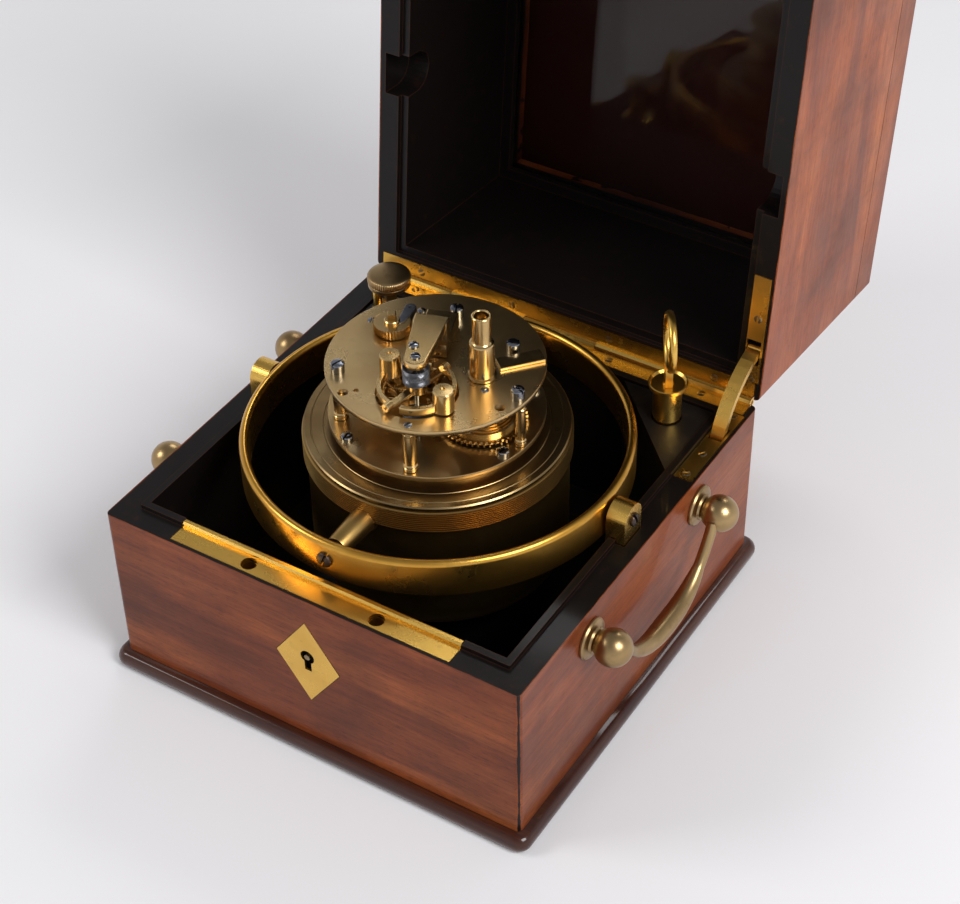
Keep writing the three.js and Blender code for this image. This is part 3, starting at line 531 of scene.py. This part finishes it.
GOLD = (0.88, 0.56, 0.13)
DEEP = (0.70, 0.41, 0.085)
PALE = (0.68, 0.49, 0.24)
wood_case = timber("mahogany_case", ebony_and_shade_inside=94.6, tint=1.16)
# The tier and lid mahogany is tinted lighter than the case's: painted light, the same wood made lighter
# for the brighter light on the tier and lid.
wood_tier = timber("mahogany_tier", shut=True, ebony_and_shade_inside=94.6, tint=1.6)
# The lid's dark red inside, below a given height, is painted shade.
wood_lid = timber("mahogany_lid", shut=True, ebony_and_shade_inside=81.9, shade_below=104.5, tint=1.5,
                  ebony_and_shade=(0.032, 0.006, 0.004))
wood_base = timber("mahogany_base", tint=0.28, coat=0.8)
black_wood = ebonised("ebonised_wood")
brass_case = brass("brass_case", GOLD, DEEP, 0.27, 0.25, wear=0.3)
brass_aged = brass("brass_aged", (0.46, 0.32, 0.155), (0.28, 0.18, 0.08), 0.32, 0.45)
brass_ring = brass("brass_ring", (0.76, 0.43, 0.085), (0.54, 0.27, 0.04), 0.28, 0.3, lathe=(0, 0))
brass_bowl = brass("brass_bowl", (0.60, 0.39, 0.13), (0.34, 0.20, 0.06), 0.33, 0.3, lathe=(0, 0))
# The dial plate's darker brass is painted shade.
brass_dial = brass("brass_dial", (0.36, 0.25, 0.115), (0.20, 0.125, 0.05), 0.30, 0.35, lathe=(0, 0))
brass_plate = brass("brass_plate", (0.60, 0.43, 0.21), (0.48, 0.32, 0.14), 0.29, 0.12, lathe=(0, 0))
brass_work = brass("brass_work", PALE, (0.52, 0.35, 0.14), 0.22, 0.12)
steel_bright = steel("steel_bright", (0.34, 0.36, 0.40), (0.13, 0.14, 0.18), 0.2)
steel_spring = steel("steel_spring", (0.22, 0.23, 0.25), (0.09, 0.09, 0.11), 0.3, 0.2)
steel_case = steel("steel_case", (0.34, 0.25, 0.14), (0.14, 0.10, 0.06), 0.32, 0.2)
steel_dark = steel("steel_dark", (0.10, 0.07, 0.055), (0.04, 0.028, 0.022), 0.36, 0.15)
glass = clear_glass("clear_glass")


# ---------------------------------------------------------------- carried-over CAD nodes
def dress(material, names, edge):
    """Gives CAD nodes a material and edges softened by so many millimetres."""
    for name in names:
        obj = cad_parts[name]
        obj.data.materials.clear()
        obj.data.materials.append(material)
        shade(obj, 30)
        if edge:
            soften(obj, edge)


def dress_frame():
    dress(wood_case, ["lower_case"], 0.35)
    dress(wood_tier, ["tier_frame"], 0.35)
    dress(wood_lid, ["top_lid"], 0.9)
    dress(black_wood, ["key_block", "gimbal_lock_block", "glass_bead"], 0.3)
    dress(brass_case, ["strike_plate", "escutcheon", "stay_slot_plate", "tier_stay_plate",
                       "tier_lock_plate", "lock_case", "hinge_lower_leaf", "hinge_upper_leaf",
                       "lid_hinge_lower_leaf", "lid_hinge_upper_leaf"], 0.12)
    dress(brass_case, ["hinge_pin", "lid_hinge_pin", "gimbal_lug_right", "gimbal_lug_left",
                       "stay_arm"], 0.25)
    dress(steel_case, ["lock_pin", "lock_bolt"], 0.1)
    dress(glass, ["tier_glass"], 0)


# ---------------------------------------------------------------- case pieces
def rounded_square(half, corner, steps=8):
    loop = []
    inner = half - corner
    for k, (sx, sy) in enumerate(((1, -1), (1, 1), (-1, 1), (-1, -1))):
        loop += arc(corner, -90 + 90 * k, 90 * k, steps, (sx * inner, sy * inner))
    return loop


def base_moulding():
    """The bullnose moulding that the case stands on."""
    steps, half_turn, half_height = 12, 62, 4
    rows = []
    for i in range(steps + 1):
        a = math.radians(-half_turn + 2 * half_turn * i / steps)
        rise = math.sin(a) / math.sin(math.radians(half_turn))
        rows.append((4.6 * math.cos(a) ** 0.8, half_height + half_height * rise))
    verts, faces = [], []
    for swell, z in rows:
        loop = rounded_square(CASE_HALF + swell, 4 + swell * 0.3)
        verts += [(x, y, z) for x, y in loop]
    count = len(rounded_square(1, 0.5))
    for r in range(len(rows) - 1):
        for i in range(count):
            k = (i + 1) % count
            faces.append((r * count + i, r * count + k, (r + 1) * count + k, (r + 1) * count + i))
    faces.append(tuple(range(count))[::-1])
    faces.append(tuple((len(rows) - 1) * count + i for i in range(count)))
    piece = mesh_object("base_moulding", verts, faces, 50)
    finish_piece(piece, "case", wood_base, ["base_board"])


def handle_set(side, word):
    """Ball-ended drop handle: two turned mounts and a swelling bail."""
    flip = turn("Z", 0 if side > 0 else 180)
    reach, ball_r = HANDLE_X - CASE_HALF, 7.7
    for place, y in (("front", -side * HANDLE_HALF), ("rear", side * HANDLE_HALF)):
        rose = [(0, 0.3), (8.7, 0.3), (8.7, 1.0), (8.2, 1.7), (6.9, 2.2), (5.6, 2.4), (5.2, 3.2),
                (3.9, 3.8), (3.4, 4.6), (3.4, 4.8)]
        ball = [(ball_r * math.sin(math.radians(a)), reach - ball_r * math.cos(math.radians(a)))
                for a in range(26, 181, 7)]
        profile = rose + ball + [(0, reach + ball_r)]
        piece = turned(f"handle_mount_{word}_{place}_turned", profile, 48)
        placed(piece, Matrix.Translation((CASE_HALF, y, HANDLE_Z)) @ turn("Y", 90))
        finish_piece(placed(piece, flip), "case", brass_aged,
                     [f"handle_mount_{word}_{place}"])
    steps = 72
    points, shares = [], []
    for i in range(steps + 1):
        t = -1 + 2 * i / steps
        y = (HANDLE_HALF - 6.0) * t
        drop = 25.0 * (1 - abs(t) ** 2.7) ** 0.85
        points.append((HANDLE_X, y, HANDLE_Z - drop))
        shares.append(0.56 + 0.48 * max(0.0, 1 - (t / 0.72) ** 2) ** 0.8)
    bail = tube(f"bail_{word}_bar", points, 4.2, 24, shares)
    finish_piece(placed(bail, flip), f"{word}_handle", brass_aged, [f"handle_{word}"])


def winding_key():
    x, y = KEY
    body = turned("key_body", [(0, 66), (4, 66), (4, 71), (5.5, 72), (5.5, 84.6), (5.9, 85), (5.9, 99.6),
                               (5.4, 100.3), (7.4, 100.3), (8.1, 100.7), (8.15, 102.2), (7.7, 102.4),
                               (6.8, 101.5), (2.4, 101.2), (2.1, 102.6), (0, 102.8)], 64, KEY)
    stem = bar("key_stem", -1.5, 1.5, -3.0, 3.0, 101, 111.5, 0.5)
    placed(stem, Matrix.Translation((x, y, 0)) @ turn("Z", KEY_TURN))
    loop = [(0, y_out, z_out) for y_out, z_out in circle(11.5, sides=72)]
    bow = tube("key_bow", loop, 1.35, 16, cyclic=True)
    placed(bow, Matrix.Translation((x, y, 122.5)) @ turn("Z", KEY_TURN)
           @ Matrix.Diagonal((1.2, 1, 1, 1)))
    piece = merge("winding_key_turned", [body, stem, bow], 35)
    finish_piece(piece, "winding_key", brass_case, ["winding_key"])


def lock_knob():
    """Knurled thumb knob of the gimbal lock with its guide post."""
    def knurl(r, z, a):
        return r + 0.12 * math.cos(60 * a) if r > 9.1 and 102 < z < 105.2 else r
    profile = [(0, 72), (2.2, 72), (2.2, 88.4), (3.0, 88.4), (3.0, 99), (4.2, 100), (8.6, 100),
               (9.2, 100.4), (9.2, 102.0), (8.8, 102.3), (9.3, 102.5), (9.3, 104.9), (8.9, 105.5),
               (7.4, 105.9), (4, 106.3), (0, 106.4)]
    piece = turned("gimbal_lock_knob_turned", profile, 360, KNOB, radius=knurl, smooth=50)
    finish_piece(piece, "lock_knob", brass_aged, ["gimbal_lock_knob"])
    x, y = KNOB
    rim = [(3.0, 84.3), (8.3, 84.3), (8.3, 86.6), (7.2, 88), (3.0, 88)]
    foot = turned("lock_foot", rim, 48, KNOB, closed=True)
    post = turned("lock_post", [(0, 87), (2, 87), (2, 98.8), (1.6, 99.5), (0, 99.5)], 24,
                  (x - 5, y - 2.2))
    base = merge("gimbal_lock_base_turned", [foot, post])
    finish_piece(base, "case", brass_case, ["gimbal_lock_base"])


def tier_place(x, back):
    """A screw's place on the lower edge of the tier: x and the distance in front of the hinge."""
    point = Matrix.Translation((x, HINGE.y - back, RIM_Z + 0.42))
    return tilted() @ point @ turn("X", 180)


def case_screws():
    """Countersunk screws of the hinge leaves, the stay plates and the tier's lock plate."""
    tier = [tier_place(x, 5.2) for x in (-71.6, -24.9, 23.4, 73.5)]
    tier += [tier_place(89.5, back) for back in (10.9, 39.6)]
    tier += [tier_place(x, 185.3) for x in (-44, 44)]
    screws("tier_screws", tier, "tier", steel_case, "steel", 1.9, 0.12, dome=0.15)
    case = [Matrix.Translation((x, 91.2, RIM_Z)) for x in (-71, -25, 27, 71)]
    case += [Matrix.Translation((89.2, y, RIM_Z)) for y in (84.9, 57.3, 43.5)]
    screws("case_screws", case, "case", steel_case, "steel", 1.9, 0.12, dome=0.15)


def pivot_screw(node, head, length, place, half_turn, body):
    """A screw whose shank is the pin that the ring or the bowl turns on."""
    shank = turned("shank", [(0, -length), (1.5, -length), (1.5, 0), (0, 0)], 24)
    piece = placed(merge(node + "_turned", [head, shank]), place)
    finish_piece(placed(piece, turn("Z", half_turn)), body, steel_dark, [node])


def gimbal_screws():
    right = Matrix.Translation((LUG_X, 0, AXIS_Z)) @ turn("Y", 90)
    front = Matrix.Translation((0, -RING_R - 0.4, AXIS_Z)) @ turn("X", 90)
    for word, half_turn in (("right", 0), ("left", 180)):
        head = screw(2.8, 1.1, 20)
        pivot_screw(f"gimbal_screw_{word}", head, 13, right, half_turn, "case")
    for word, half_turn in (("front", 0), ("rear", 180)):
        head = screw(3.3, 1.0, 70, dome=0.6, slot=0.16)
        pivot_screw(f"bowl_pivot_screw_{word}", head, 16, front, half_turn, "ring")


# ---------------------------------------------------------------- gimbal and bowl
def gimbal_ring():
    z0, z1, r, w = 84.1, 100.5, RING_R, 3.8
    outer = [(r - 0.3, z0), (r, z0 + 0.3), (r, z1 - 2.2)]
    crown = [(r - 1.9 + 1.9 * math.cos(math.radians(a)), z1 - 2.2 + 2.2 * math.sin(math.radians(a)))
             for a in range(10, 171, 16)]
    inner = [(r - w, z1 - 2.2), (r - w, z0 + 0.4), (r - w + 0.4, z0)]
    piece = turned("gimbal_ring_turned", outer + crown + inner, 256, closed=True, smooth=40)
    finish_piece(piece, "ring", brass_ring, ["gimbal_ring"])


def bowl():
    r, crest, root = BOWL_R, THREAD_R, THREAD_R - 0.6
    outside = [(0, 34)] + arc(16, -90, 0, 16, (r - 16, 50)) + [(r, 92.2), (r + 0.3, 92.6)]
    thread = []
    for i in range(10):
        z = 93.0 + 0.96 * i
        thread += [(crest, z), (crest, z + 0.42), (root, z + 0.6), (root, z + 0.78)]
    inside = [(53.9, 102.4), (53.5, 102.6), (51.3, 102.6), (51, 102.3)]
    floor = arc(10, 0, -90, 10, (41, 50)) + [(0, 40)]
    shell = turned("bowl_shell", outside + thread + inside + floor, 192, smooth=28)
    taper = [(5.8, 0), (5.75, 0.8), (5.3, 1.4), (4.5, 18.8), (4.2, 19.4), (1.6, 19.4)]
    front = Matrix.Translation((0, -BOWL_R + 0.4, AXIS_Z)) @ turn("X", 90)
    bosses = [placed(turned("boss", taper, 48), turn("Z", half) @ front) for half in (0, 180)]
    piece = merge("bowl_turned", [shell] + bosses, 28)
    finish_piece(piece, "bowl", brass_bowl, ["bowl"])


# ---------------------------------------------------------------- movement
def polar_point(origin, distance, degrees):
    a = math.radians(degrees)
    return (origin[0] + distance * math.cos(a), origin[1] + distance * math.sin(a))


THIRD = polar_point((0, 0), 11.25, -135)
FOURTH = polar_point(THIRD, 9.35, 190)
ESCAPE = polar_point(FOURTH, 9, -62)
PILLARS = [(12, -37, 3.0), (40.4, -3.2, 2.3), (-28.6, -25, 3.0), (-8.2, 28.6, 3.0)]


def plates():
    dial = [(0, 102.9), (53.0, 102.9), (53.4, 103.3), (53.4, 104.3), (52.9, 104.8), (50.6, 104.8),
            (50.4, 104.55), (50.1, 104.55), (49.9, 104.8), (45.5, 104.8), (45.3, 104.6), (45.0, 104.6),
            (44.8, 104.8), (39, 104.8), (39, 108.7), (0, 108.7)]
    finish_piece(turned("dial_plate_turned", dial, 192), "movement", brass_dial, ["dial_plate"])
    disc = circle(PLATE_R, sides=160)
    pivots = [circle(1.2, at, 20) for at in (FUSEE, BARREL, THIRD, ESCAPE)]
    lower = outline_plate("pillar_plate_cut", disc, pivots, LOWER_FACE - PLATE_THICK, LOWER_FACE, 0.3)
    finish_piece(lower, "movement", brass_plate, ["pillar_plate"])
    holes = [circle(15.9, BALANCE, 96)]
    holes += [circle(1.9, at, 24) for at in ((-19.7, -34.6), (36.6, -11.7))]
    holes += [circle(0.9, at, 20) for at in (THIRD, FOURTH, ESCAPE, (0, 0))]
    holes += [circle(0.9, at, 20) for at in ((-16.1, -31), (30, 22), (-33, 17))]
    upper = outline_plate("top_plate_cut", disc, holes, TOP_FACE - PLATE_THICK, TOP_FACE, 0.3)
    finish_piece(upper, "movement", brass_plate, ["top_plate"])
    z0, z1 = 111.6, 131.4
    for i, (x, y, r) in enumerate(PILLARS):
        profile = [(0, z0), (r, z0), (r, z0 + 1.2), (r - 0.4, z0 + 1.5), (r, z0 + 1.9), (r, z0 + 2.4),
                   (r - 0.4, z0 + 3), (r - 0.15, 121.5), (r - 0.4, z1 - 3), (r, z1 - 2.4), (r, z1 - 1.9),
                   (r - 0.4, z1 - 1.5), (r, z1 - 1.2), (r, z1), (0, z1)]
        piece = turned(f"pillar_{i + 1}_turned", profile, 40, (x, y))
        finish_piece(piece, "movement", brass_work, [f"pillar_{i + 1}"])


def plate_screws():
    tall = [(-28.6, -25.0), (22.8, 20.6), (39.2, -3.2), (-8.2, 28.6)]
    screws("plate_screws", [Matrix.Translation((x, y, TOP_FACE)) for x, y in tall], "movement",
           steel_bright, "steel", 2.7, 4.3, slot=0.16)
    low = [(12.3, -38.2), (26.1, -5.8), (-22, 24), (-35.5, 8.5)]
    screws("flush_screws", [Matrix.Translation((x, y, TOP_FACE)) for x, y in low], "movement",
           steel_bright, "steel", 1.7, 0.5, slot=0.2)
    feet = [(-19.1, -34.8), (37.4, -11.4), (-38, -8), (28, 28)]
    screws("dial_screws", [Matrix.Translation((x, y, LOWER_FACE)) for x, y in feet], "movement",
           steel_bright, "steel", 2.4, 1.8, slot=0.18)


def balance_cock():
    x, y = BALANCE
    foot = bar("foot", 22, 43, -6.3, 6.3, 134.3, 141, 0.4)
    riser = bar("riser", 22, 27, -6.8, 6.8, 140, 150.9, 0.4)
    outline = [(27, 6.8)] + arc(4.6, 112, 248, 20) + [(27, -6.8)]
    arm = outline_plate("arm", outline, [circle(0.6)], 147.6, COCK_TOP, 0.45)
    piece = merge("balance_cock_cut", [foot, riser, arm])
    placed(piece, Matrix.Translation((x, y, 0)) @ turn("Z", COCK_TURN))
    finish_piece(piece, "movement", brass_work, ["balance_cock"])

    def along(distance, across, z):
        across_x, across_y = polar_point((x, y), across, COCK_TURN + 90)
        return Matrix.Translation((*polar_point((across_x, across_y), distance, COCK_TURN), z))

    tops = [along(0, 0, COCK_TOP), along(6.5, 2.2, COCK_TOP)]
    screws("cock_screws", tops, "movement", steel_bright, "steel", 1.9, 0.9, slot=0.2)
    screws("cock_foot_screw", [along(34, 0, 141)], "movement", steel_bright, "steel", 2.6, 1.6,
           slot=0.16)


def winding_pipe():
    profile = [(2.8, 134.3), (5.6, 134.3), (5.6, 135.0), (4.9, 135.2), (4.9, 149.9), (4.7, 150.4),
               (4.1, 150.7), (3.7, 151.2), (3.65, 161.9), (3.8, 162.1), (3.8, 162.8), (3.6, 163),
               (3.1, 163), (2.9, 162.7), (2.9, 152), (2.8, 150)]
    piece = turned("winding_pipe_turned", profile, 64, FUSEE, closed=True, smooth=20)
    finish_piece(piece, "movement", brass_work, ["winding_pipe"])


def saw_wheel(name, count, outer, inner, holes, z0, z1, at):
    """A plate wheel with pointed teeth that lean one way."""
    loop = []
    for i in range(count):
        loop.append(polar_point(at, inner, 360 * i / count))
        loop.append(polar_point(at, outer, 360 * (i + 0.93) / count))
    return outline_plate(name, loop, holes, z0, z1, 0.08)


def setup_ratchet():
    wheel = saw_wheel("ratchet", 36, 7.6, 6.9, [], TOP_FACE + 0.3, TOP_FACE + 4.3, BARREL)
    hub = turned("hub", [(0, 138), (3.2, 138), (3.2, 139.2), (2.8, 139.6), (0, 139.6)], 40, BARREL)
    square = bar("square", -1.6, 1.6, -1.6, 1.6, 139.4, 142.6, 0.2)
    placed(square, Matrix.Translation((*BARREL, 0)) @ turn("Z", 30))
    piece = merge("setup_ratchet_cut", [wheel, hub, square])
    finish_piece(piece, "movement", brass_work, ["setup_ratchet"])
    outline = arc(2.3, 90, 270, 10) + [(9.5, -1.0), (11.5, 0.3), (9.5, 1.7)]
    click = outline_plate("click_steel", outline, [circle(0.7, sides=12)],
                          TOP_FACE, TOP_FACE + 4.8, 0.12)
    placed(click, Matrix.Translation((-23.5, 18.6, 0)) @ turn("Z", -82))
    finish_piece(click, "movement", steel_bright)


def balance_spring():
    turns, steps, height = 13, 24, 7.0
    points = []
    for i in range(turns * steps + 1):
        z = 139.5 + height * i / (turns * steps)
        points.append((*polar_point(BALANCE, 5.1, 360 * i / steps), z))
    piece = tube("balance_spring_coil", points, 0.23, 8)
    finish_piece(piece, "movement", steel_spring, ["balance_spring"])


def balance_wheel():
    """Cut rim with its arm, two weights and two timing nuts, and the staff that carries it."""
    z0 = TOP_FACE + 0.5
    pieces = []
    for start in (-82, 98):
        outer = arc(15.4, start, start + 158, 60) + arc(13.5, start + 158, start, 60)
        pieces.append(outline_plate("rim", outer, [], z0, z0 + 3.6, 0.2))
    arm = bar("arm", -14.4, 14.4, -1.6, 1.6, z0 + 0.6, z0 + 2.4, 0.2)
    pieces.append(placed(arm, turn("Z", ARM_ANGLE)))
    hub = [(1.3, z0), (3.2, z0), (3.2, z0 + 3.6), (2.8, z0 + 4), (1.3, z0 + 4)]
    pieces.append(turned("hub", hub, 40, closed=True))
    drum = [(0, z0), (3.9, z0), (4.15, z0 + 0.3), (4.15, z0 + 9.0), (3.8, z0 + 9.5), (1.2, z0 + 9.6),
            (1.2, z0 + 9.2), (0, z0 + 9.2)]
    cap = [(0, 0), (1.9, 0), (1.9, 3.0), (1.5, 3.3), (0.6, 3.3), (0.6, 4.0), (0, 4.0)]
    weight_out = Matrix.Translation((15.2, 0, 0))
    nut_out = Matrix.Translation((14.0, 0, z0 + 2.0)) @ turn("Y", 90)
    for half in (0, 180):
        weight = turned("weight", drum, 48)
        pieces.append(placed(weight, turn("Z", WEIGHT_ANGLE + half) @ weight_out))
        nut = turned("nut", cap, 32)
        pieces.append(placed(nut, turn("Z", ARM_ANGLE + half) @ nut_out))
    piece = placed(merge("balance_wheel_cut", pieces), Matrix.Translation((*BALANCE, 0)))
    finish_piece(piece, "balance", brass_work, ["balance_wheel"])
    staff = [(0, 110), (0.5, 110), (0.5, 112.4), (1, 113), (1, 122.2), (6, 122.2), (6, 123.4),
             (1, 123.4), (1, 147), (0.5, 147.4), (0.5, 149.6), (0, 149.6)]
    finish_piece(turned("balance_staff_turned", staff, 32, BALANCE), "balance", steel_bright,
                 ["balance_staff"])


# One tooth: shares of the pitch along the wheel, and reach from the pitch circle in modules
TOOTH = ((-0.30, -1.2), (-0.22, -0.4), (-0.09, 0.75), (0.09, 0.75), (0.22, -0.4), (0.30, -1.2))


def toothed(count, module, first):
    """The outline of a gear whose first tooth stands at the angle first, in radians."""
    loop = []
    for i in range(count):
        for share, reach in TOOTH:
            a = math.degrees(first + (i + share) * 2 * math.pi / count)
            loop.append(polar_point((0, 0), (count / 2 + reach) * module, a))
    return loop


def crossings(inner, outer, arms, first):
    """The openings between a wheel's arms."""
    holes = []
    gap = 360 / arms
    for i in range(arms):
        a = math.degrees(first) + gap * i
        holes.append(arc(outer, a + 6, a + gap - 6, 16) + arc(inner, a + gap - 16, a + 16, 6))
    return holes


def train_piece(node, ending, parts, at, smooth=30):
    """A brass piece drawn round its arbor; the body that it rides on has the node's name."""
    piece = placed(merge(f"{node}_{ending}", parts, smooth), Matrix.Translation((*at, 0)))
    finish_piece(piece, node, brass_work, [node])


def wheel_on_arbor(node, at, wheel, pinion, arbor=(110, 133), radius=0.5):
    """A crossed-out wheel and its pinion; each is (teeth, module, first angle, z from, z to)."""
    teeth, module, face, z0, z1 = wheel
    openings = crossings(3.2, teeth * module / 2 - 2.4, 4, face)
    parts = [outline_plate("wheel", toothed(teeth, module, face), openings, z0, z1, 0.06)]
    leaves, leaf_module, back, leaf_z0, leaf_z1 = pinion
    leaf_loop = toothed(leaves, leaf_module, back)
    parts.append(outline_plate("leaves", leaf_loop, [], leaf_z0, leaf_z1, 0.05))
    rod = [(0, arbor[0]), (radius, arbor[0]), (radius, z0 - 1.5), (2.0, z0 - 1.2), (2.0, z1 + 0.3),
           (radius, z1 + 0.4), (radius, arbor[1]), (0, arbor[1])]
    parts.append(turned("arbor", rod, 24))
    train_piece(node, "cut", parts, at)


def bearing(a, b):
    return math.atan2(b[1] - a[1], b[0] - a[0])


def straight_arbor(radius, z0, z1):
    return turned("arbor", [(0, z0), (radius, z0), (radius, z1), (0, z1)], 24)


def train():
    great = 2 * math.hypot(*FUSEE) / 58
    centre, third, fourth = 22.5 / 68, 18.7 / 54, 18 / 54
    wheel_on_arbor("centre_wheel", (0, 0),
                   (60, centre, bearing((0, 0), THIRD), 125.2, 126),
                   (10, great, bearing((0, 0), FUSEE) + math.pi / 10, 112, 114.6), (98, 133), 0.6)
    wheel_on_arbor("third_wheel", THIRD,
                   (48, third, bearing(THIRD, FOURTH), 127.2, 128),
                   (8, centre, bearing(THIRD, (0, 0)) + math.pi / 8, 124.6, 127.3))
    wheel_on_arbor("fourth_wheel", FOURTH,
                   (48, fourth, bearing(FOURTH, ESCAPE), 129.2, 130),
                   (6, third, bearing(FOURTH, THIRD) + math.pi / 6, 126.6, 129.3), (98, 133))
    escape_wheel(fourth)
    barrel()
    fusee(great)


def escape_wheel(module):
    club = saw_wheel("escape", 15, 8, 6, crossings(2.4, 5.0, 4, 0.3), 122.6, 123.4, (0, 0))
    leaves = toothed(6, module, bearing(ESCAPE, FOURTH) + math.pi / 6)
    pinion = outline_plate("pinion", leaves, [], 128.8, 130.4, 0.05)
    parts = [club, pinion, straight_arbor(0.5, 110, 133)]
    train_piece("escape_wheel", "cut", parts, ESCAPE)


def barrel():
    profile = [(0, 112.5), (16.2, 112.5), (16.4, 112.8), (16.4, 114.2), (16.0, 114.6), (16.0, 121.4),
               (16.4, 121.8), (16.4, 123.4), (15.9, 124), (0, 124)]
    parts = [turned("drum", profile, 120), straight_arbor(1.3, ARBOR_FOOT, 135.6)]
    train_piece("barrel", "turned", parts, BARREL)


def fusee(module):
    """The great wheel with the grooved cone that the chain winds onto, and the winding square."""
    wheel = outline_plate("great", toothed(48, module, bearing(FUSEE, (0, 0))), [], 112.5, 114, 0.1)
    cone = [(0, 113.5), (13.6, 113.5), (13.6, 115.4)]
    for i in range(9):
        r, z = 12.9 - i * 0.78, 115.8 + i * 0.86
        cone += [(r, z), (r - 0.6, z + 0.2), (r - 0.6, z + 0.55), (r - 0.1, z + 0.75)]
    cone += [(5.6, 123.8), (0, 123.8)]
    body = turned("cone", cone, 96)
    square = placed(bar("square", -1.65, 1.65, -1.65, 1.65, 123.5, 158, 0.15), turn("Z", 25))
    parts = [wheel, body, square, straight_arbor(1.3, ARBOR_FOOT, 124)]
    train_piece("fusee", "turned", parts, FUSEE, 28)


def plate_bar():
    """The flat brass bar that lies on the top plate beside the winding pipe."""
    a = (22.7, 9.3)
    b = (34.5, 23.2)
    piece = bar("plate_bar", 0, math.dist(a, b), -3.5, 3.5, TOP_FACE, TOP_FACE + 1.3, 0.2)
    placed(piece, Matrix.Translation((*a, 0)) @ turn("Z", math.degrees(bearing(a, b))))
    finish_piece(piece, "movement", brass_work)


def movement():
    plates()
    plate_screws()
    balance_cock()
    winding_pipe()
    setup_ratchet()
    balance_spring()
    balance_wheel()
    train()
    plate_bar()
    dress(steel_bright, ["detent"], 0)


# ---------------------------------------------------------------- stage
def camera():
    a, e, roll = (math.radians(angle) for angle in (CAMERA_AZIMUTH, CAMERA_HEIGHT, CAMERA_ROLL))
    back = Vector((math.sin(a) * math.cos(e), -math.cos(a) * math.cos(e), math.sin(e)))
    right = (-back).cross(Vector((0, 0, 1))).normalized()
    up = right.cross(-back)
    turned_right = math.cos(roll) * right + math.sin(roll) * up
    turned_up = -math.sin(roll) * right + math.cos(roll) * up
    data = bpy.data.cameras.new("camera")
    data.sensor_width = 36
    data.lens = CAMERA_LENS
    data.clip_start = 0.05
    data.clip_end = 20
    obj = linked("camera", data)
    matrix = Matrix((turned_right, turned_up, back)).transposed().to_4x4()
    matrix.translation = CAMERA_PLACE
    obj.matrix_world = matrix
    bpy.context.scene.camera = obj


def area(name, place, size, power):
    """A soft rectangular light aimed at the middle of the case; lengths in metres, power in watts."""
    data = bpy.data.lights.new(name, "AREA")
    data.shape = "RECTANGLE"
    data.size, data.size_y = size
    data.energy = power
    obj = linked(name, data)
    obj.location = place
    obj.rotation_mode = "QUATERNION"
    obj.rotation_quaternion = (Vector((0, 0, 0.1)) - Vector(place)).to_track_quat("-Z", "Y")


def stage():
    reach = 4000
    verts = [(-reach, -reach, 0), (reach, -reach, 0), (reach, reach, 0), (-reach, reach, 0)]
    floor = mesh_object("floor", verts, [(0, 1, 2, 3)])
    floor.data.materials.append(paper_floor("paper_floor"))
    world = bpy.data.worlds.new("studio")
    bpy.context.scene.world = world
    world.use_nodes = True
    nodes, links = world.node_tree.nodes, world.node_tree.links
    direction = nodes.new("ShaderNodeTexCoord")
    height = nodes.new("ShaderNodeSeparateXYZ")
    links.new(direction.outputs["Generated"], height.inputs[0])
    sky = nodes.new("ShaderNodeMapRange")
    for key, value in zip((1, 2, 3, 4), (0.12, 0.75, HORIZON, OVERHEAD)):
        sky.inputs[key].default_value = value
    links.new(height.outputs[2], sky.inputs[0])
    nodes["Background"].inputs[0].default_value = (0.90, 0.90, 0.93, 1)
    links.new(sky.outputs[0], nodes["Background"].inputs[1])
    bpy.context.scene.view_settings.view_transform = "Standard"
    area("key_light", (1.45, -0.38, 1.45), (0.9, 0.9), 29)
    area("left_light", (-1.3, -0.9, 1.2), (0.7, 0.7), 10)
    area("back_light", (-0.3, 1.6, 1.6), (1.2, 0.5), 9)


camera()
dress_frame()
base_moulding()
handle_set(1, "right")
handle_set(-1, "left")
winding_key()
lock_knob()
case_screws()
gimbal_screws()
gimbal_ring()
bowl()
movement()
stage()
